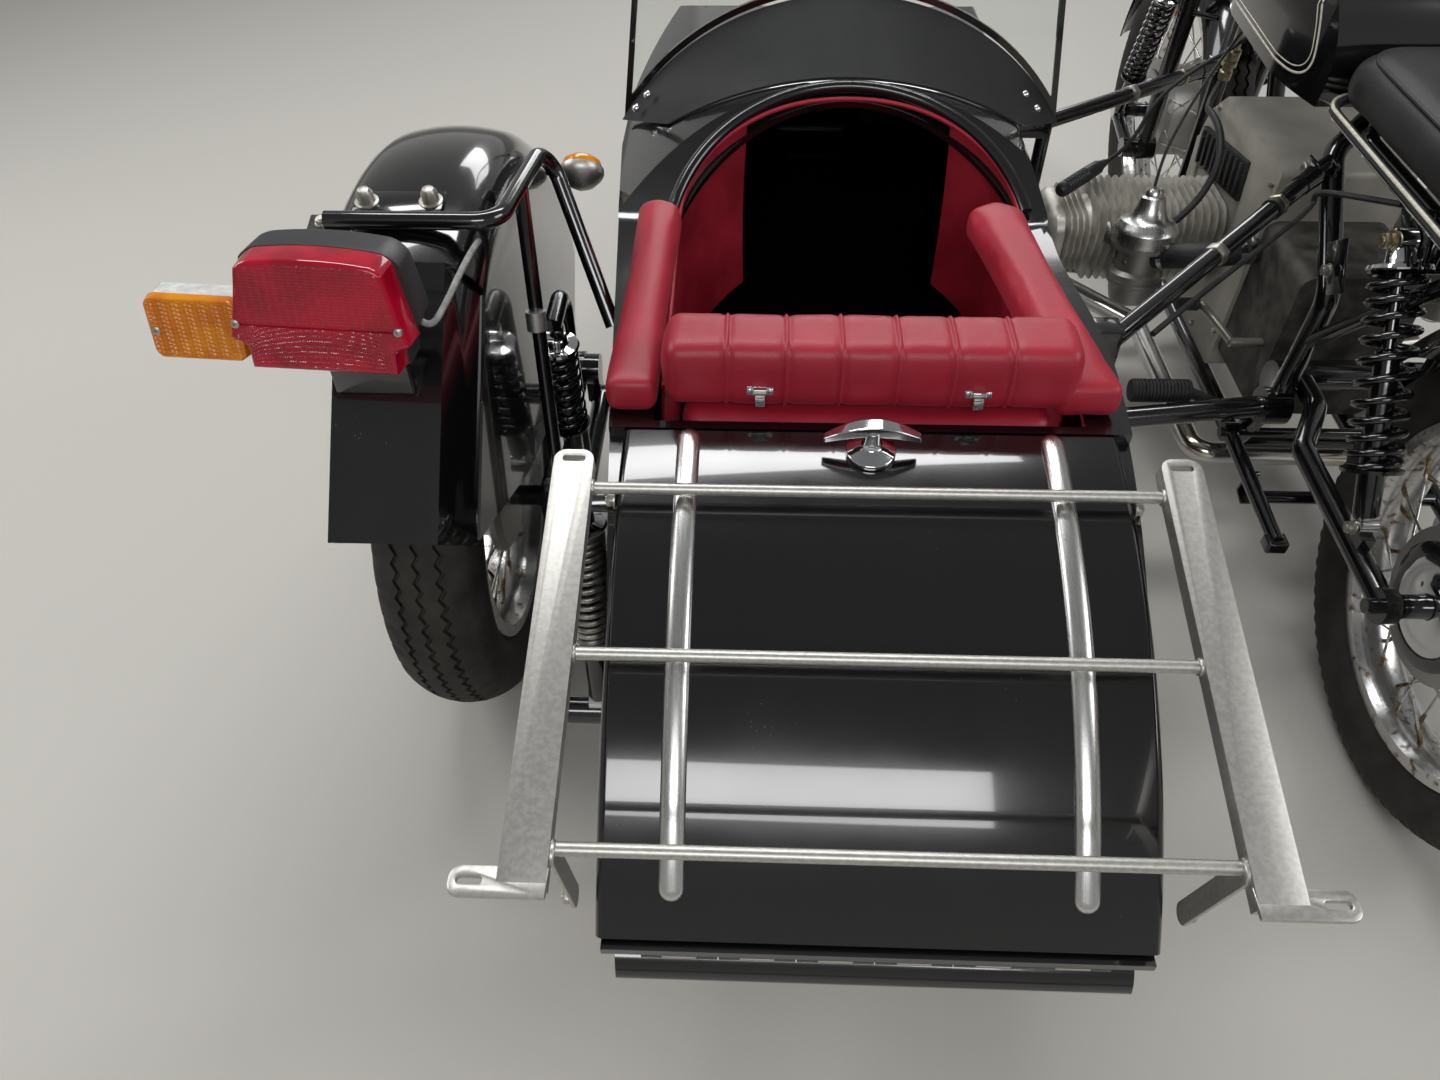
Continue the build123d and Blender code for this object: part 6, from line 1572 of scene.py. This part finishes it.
for side, word in SIDES:
    low, high = bike_at(side * 0.122, 0.106, 0.365), bike_at(side * 0.122, 0.310, 0.6620)
    spring_unit(f"rear_shock_{word}", "rear_shocks", low, high, 0.0355, 0.0050, 11, 0.0165, "outfit",
                gloss_black, side < 0, 0.21)
    plate = [brick((0.005, 0.075, 0.085), bike_at(side * 0.1065, 0.318, 0.655), (math.radians(-20), 0, 0))]
    joined(plate, f"shock_plate_{word}", "outfit", black_enamel, 0.002)
    low, high = bike_at(side * 0.132, 1.436, 0.326), bike_at(side * 0.132, 1.318, 0.631)
    spring_unit(f"front_shock_{word}", "front_springs", low, high, 0.0245, 0.0036, 12, 0.0120, "front_fork",
                gloss_black, side < 0)
    hexagon_bolt(f"shock_bolt_high_{word}", bike_at(side * 0.1365, 0.3095, 0.6605), (side, 0, 0), 0.019,
                 "outfit", 1.2, 0.6, brass_zinc)
    hexagon_bolt(f"shock_bolt_low_{word}", bike_at(side * 0.136, 0.103, 0.361), (side, 0, 0), 0.015, "outfit",
                 1.0, 0.6, zinc_plate)
    hexagon_bolt(f"gusset_bolt_{word}", bike_at(side * 0.124, 0.430, 0.545), (side, 0, 0), 0.014, "outfit", 1.0,
                 0.6, zinc_plate)
spring_unit("side_shock", "sidecar_shock", guard_at(0.134, 0.070, 0.010), guard_at(0.134, 0.050, 0.250), 0.027,
            0.0042, 8, 0.014, "outfit", gloss_black)
spring_foot = Vector((BODY_X - 0.318, AXLE_Y - 0.118, 0.2433))
spring_head = Vector((BODY_X - 0.318, AXLE_Y - 0.066, 0.545))
bright_spring = weathered("bright_spring_steel", "a8a7a3", 0.32, ("86827a", "bdbcb8"), 9, (0.26, 0.42),
                          metal=1.0)
spring_unit("body_spring", "body_spring", spring_foot, spring_head, 0.0255, 0.0040, 17, 0.013, "outfit",
            bright_spring)
bracket = [brick((0.056, 0.024, 0.010), Vector((BODY_X - 0.305, AXLE_Y - 0.066, 0.546)))]
joined(bracket, "spring_bracket", "outfit", black_enamel, 0.003)

# Wheels of the motorcycle. Chromed rims, laced with forty spokes to full-width alloy drums with a polished
# cover, a gloss black ring of painted shade for the shadow round each drum face, and road tyres with a zigzag
# tread.
DRUM = [(-0.062, 0.0), (-0.062, 0.084), (-0.060, 0.088), (-0.054, 0.104), (-0.040, 0.104), (-0.036, 0.096),
        (-0.030, 0.094), (0.030, 0.094), (0.036, 0.096), (0.040, 0.104), (0.054, 0.104), (0.060, 0.088),
        (0.062, 0.084), (0.062, 0.0)]
WHEELBASE = 1.465
# outer radius, tyre's width, flange radius and half the distance between the beads
WHEEL_SIZES = {"rear": (0.323, 0.108, 0.243, 0.030), "front": (0.318, 0.098, 0.243, 0.028)}
FRONT_HUB_SHARE = 0.972  # the front hub is this much of the rear one's width, to clear the links
for prefix, y, face_x in (("rear", 0.0, 0.0622), ("front", WHEELBASE, 0.0603)):
    size, body = WHEEL_SIZES[prefix], f"{prefix}_wheel_set"
    middle = bike_at(0, y, size[0])
    treaded_tyre(f"{prefix}_tyre_tread", f"{prefix}_tyre", middle, *size, body, (-0.5, 0.0, 0.5), 84, 1)
    hub = [(x * (FRONT_HUB_SHARE if prefix == "front" else 1), r) for x, r in DRUM]
    laced(prefix, f"{prefix}_wheel", middle, size, hub, 0.046, 0.104, body)
    for side, word in SIDES:
        face = middle + Vector((side * face_x, 0, 0))
        # gloss black ring on each drum face: painted shade standing for the shadow round the hub cover
        turned(f"{prefix}_drum_shade_ring_{word}", face, (side, 0, 0),
               [(0, 0.066), (0.0028, 0.068), (0.0034, 0.080), (0.0015, 0.0845), (-0.001, 0.085),
                (-0.001, 0.066), (0, 0.066)], gloss_black, body, 72)
        if prefix == "front" or side < 0:
            turned(f"{prefix}_drum_cover_{word}", face, (side, 0, 0),
                   [(0, 0.066), (0.002, 0.065), (0.003, 0.060), (0.0015, 0.052), (0.0015, 0.034),
                    (0.0035, 0.030), (0.004, 0.0175), (0.001, 0.017), (-0.001, 0.017), (-0.001, 0.066),
                    (0, 0.066)], chrome, body, 72)

# Frame, forks and guards. Welded steel tube and pressed steel, all sprayed gloss black. The exhausts are
# chromed, with a straw tint where they get hot, and the levers are polished alloy.
for node_name, name in (("main_frame", "frame_tubes"), ("rear_subframe", "subframe_tubes"),
                        ("swing_arm", "swing_arm_tubes"), ("rear_mudguard", "rear_guard"),
                        ("front_mudguard", "front_guard"), ("fork", "fork_legs"),
                        ("fork_links", "fork_swing_links"), ("headlamp", "lamp_bucket"),
                        ("centre_stand", "stand_frame"), ("sidecar_chassis", "chassis_tubes"),
                        ("suspension_arm", "wheel_arm")):
    smoothed(node_name, name, black_enamel, 40)
smoothed("bike_tail_lamp", "bike_lamp_lens", red_acrylic, 40)
chromed_pipe = weathered("chromed_exhaust", "d2cfc9", 0.12, ("b59e78", "dcdcdb"), 120, (0.1, 0.24), metal=1.0,
                         spread=(0.25, 0.5))
smoothed("exhaust", "exhaust_pipes", chromed_pipe, 50)
smoothed("handlebar", "bar_tube", chrome, 50)
smoothed("hand_levers", "lever_blades", polished_strip, 50)
smoothed("foot_levers", "pedal_rods", zinc_plate, 50)
smoothed("footrests", "footrest_pegs", soft_black, 50)
gusset = [brick((0.004, 0.050, 0.075), bike_at(side * 0.1145, 0.432, 0.548), (math.radians(-38), 0, 0))
          for side, _ in SIDES]
joined(gusset, "frame_gussets", "outfit", black_enamel, 0.0015)
hook = [brick((0.020, 0.006, 0.050), bike_at(-0.118, 0.392, 0.176), (math.radians(12), 0, 0)),
        brick((0.020, 0.026, 0.006), bike_at(-0.118, 0.382, 0.150), (math.radians(12), 0, 0))]
joined(hook, "tie_hook", "outfit", black_enamel, 0.002)

# Headlamp and handlebar fittings. A chromed rim round a moulded glass, and black ribbed rubber grips. The
# footrests and the gear pedal carry ribbed rubbers too.
lamp_face = bike_at(0, 1.434, 0.800)
turned("headlamp_rim", lamp_face, (0, 1, 0),
       [(-0.012, 0.0865), (-0.010, 0.0885), (-0.002, 0.0885), (0.003, 0.085), (0.003, 0.078), (0.0, 0.077),
        (-0.004, 0.078), (-0.012, 0.0865)], chrome, "front_fork", 72)
headlamp_glass, shader = finish("headlamp_glass", "e9eceb", 0.06)
shader.inputs["Transmission Weight"].default_value = 0.6
shader.inputs["IOR"].default_value = 1.45
haze(headlamp_glass, shader, mottle(headlamp_glass, shader, "dfe3e2", "f2f4f3", 6), 0.03, 0.12)
turned("headlamp_lens", lamp_face, (0, 1, 0),
       [(-0.004, 0.0), (-0.004, 0.0775), (0.001, 0.0775), (0.0035, 0.070), (0.005, 0.060), (0.0075, 0.050),
        (0.008, 0.040), (0.010, 0.030), (0.0102, 0.015), (0.011, 0.0)], headlamp_glass, "front_fork",
       72)
for side, word in SIDES:
    root, tip = bike_at(side * 0.232, 1.0486, 1.0477), bike_at(side * 0.3395, 1.0102, 1.040)
    ribs = [(0.0, 0.0112), (0.0, 0.0215), (0.004, 0.0215), (0.006, 0.0165)]
    long = (tip - root).length
    for i in range(16):
        at = 0.010 + (long - 0.018) * i / 16
        ribs += [(at, 0.0152), (at + 0.0022, 0.0168), (at + 0.0042, 0.0168), (at + 0.0058, 0.0152)]
    ribs += [(long - 0.004, 0.0165), (long - 0.001, 0.0150), (long, 0.0112), (0.0, 0.0112)]
    turned(f"grip_{word}", root, tip - root, ribs, soft_black, "front_fork", 40)
    ribs = [(0.0, 0.0), (0.0, 0.0178)]
    for i in range(16):
        at = 0.004 + 0.0056 * i
        ribs += [(at, 0.0192), (at + 0.0028, 0.0192), (at + 0.0034, 0.0175), (at + 0.0052, 0.0175)]
    ribs.append((0.0945, 0.0))
    foot = bike_at(side * 0.226, 0.478, 0.292)
    turned(f"footrest_rubber_{word}", foot, (side, 0, 0), ribs, soft_black, "outfit", 24)
ribs = [(0.006, 0.0), (0.006, 0.0100), (0.008, 0.0115)]
for i in range(7):
    ribs += [(0.010 + 0.0042 * i, 0.0115), (0.010 + 0.0042 * i + 0.0022, 0.0103)]
ribs += [(0.0420, 0.0112), (0.0435, 0.0)]
turned("gear_rubber", bike_at(-0.158, 0.683, 0.322), (-1, 0, 0), ribs, soft_black, "outfit", 24)

# Plug leads, fuel hose and wiring. Silicone-covered leads run from moulded plug caps to the coils under the
# tank, and a braided hose loops from each fuel tap to its carburettor.
for side, word in SIDES:
    stagger = -side * STAGGER
    cap_low = bike_at(side * 0.392, 0.866 + stagger - 0.02, 0.432)
    cap_high = bike_at(side * 0.300, 0.938 + stagger - 0.02, 0.452)
    ribs = [(0.0, 0.0), (0.0, 0.009), (0.004, 0.0125), (0.012, 0.0135)]
    long = (cap_high - cap_low).length
    for i in range(9):
        at = 0.016 + 0.0058 * i
        ribs += [(at, 0.0135), (at + 0.0018, 0.0122), (at + 0.0036, 0.0135)]
    ribs += [(long - 0.020, 0.0125), (long - 0.012, 0.0085), (long, 0.0062), (long, 0.0)]
    turned(f"plug_cap_{word}", cap_low, cap_high - cap_low, ribs, lamp_plastic, "outfit", 24)
    run = (cap_high - cap_low).normalized()
    pipe(f"plug_lead_{word}",
         [cap_high - run * 0.006, cap_high + run * 0.035, bike_at(side * 0.250, 0.962, 0.490),
          bike_at(side * 0.226, 0.985, 0.545), bike_at(side * 0.170, 0.990, 0.600),
          bike_at(side * 0.110, 0.985, 0.640), bike_at(side * 0.070, 0.975, 0.700)], 0.0036, soft_black,
         "outfit", 12, 8)
    tap = bike_at(side * 0.098, 1.030, 0.600)
    turned(f"fuel_tap_{word}", tap, (0, 0.1, -1),
           [(-0.07, 0), (-0.07, 0.008), (-0.018, 0.008), (-0.016, 0.013), (0.0, 0.013), (0.002, 0.009),
            (0.020, 0.009), (0.022, 0.011), (0.036, 0.011), (0.038, 0)], brass_zinc, "outfit",
           24)
    hexagon_bolt(f"tap_nut_{word}", tap + Vector((0, 0.001, -0.004)), (0, 0.1, -1), 0.024, "outfit", 0.1, 0.4,
                 brass_zinc)
    y0 = CARB_Y[word]
    pipe(f"fuel_hose_{word}",
         [tap + Vector((0, 0.004, -0.034)), tap + Vector((side * 0.012, -0.002, -0.062)),
          bike_at(side * 0.130, 0.985, 0.530), bike_at(side * 0.140, 0.930, 0.545),
          bike_at(side * 0.145, 0.870, 0.545), bike_at(side * 0.150, 0.820, 0.520),
          bike_at(side * 0.165, 0.800, 0.470), bike_at(side * 0.200, y0 - 0.005, 0.430),
          bike_at(side * 0.232, y0 - 0.012, 0.405)], 0.0062, soft_black, "outfit", 16, 8)
    pipe(f"throttle_cable_{word}",
         [bike_at(side * 0.258, y0 + 0.001, 0.480), bike_at(side * 0.256, y0 + 0.012, 0.520),
          bike_at(side * 0.235, y0 + 0.045, 0.560), bike_at(side * 0.190, y0 + 0.110, 0.600),
          bike_at(side * 0.130, y0 + 0.190, 0.640), bike_at(side * 0.075, y0 + 0.240, 0.700)], 0.0026,
         soft_black, "outfit", 10, 8)
strut_way = (STRUT_HEAD - STRUT_FOOT).normalized()
beside = Vector((0.012, -0.024, -0.012))
pipe("strut_cable",
     [STRUT_FOOT + strut_way * 0.06 + beside, STRUT_FOOT + strut_way * 0.18 + beside,
      STRUT_FOOT + strut_way * 0.34 + beside * 1.2, STRUT_FOOT + strut_way * 0.43 + beside * 1.2,
      bike_at(-0.150, 0.500, 0.628), bike_at(-0.120, 0.440, 0.650), bike_at(-0.100, 0.380, 0.672)], 0.0042,
     soft_black, "outfit", 12, 8)
turned("cable_tie", STRUT_FOOT + strut_way * 0.36, strut_way,
       [(-0.004, 0.0133), (-0.004, 0.0152), (0.004, 0.0152), (0.004, 0.0133)], soft_black, "outfit",
       28)
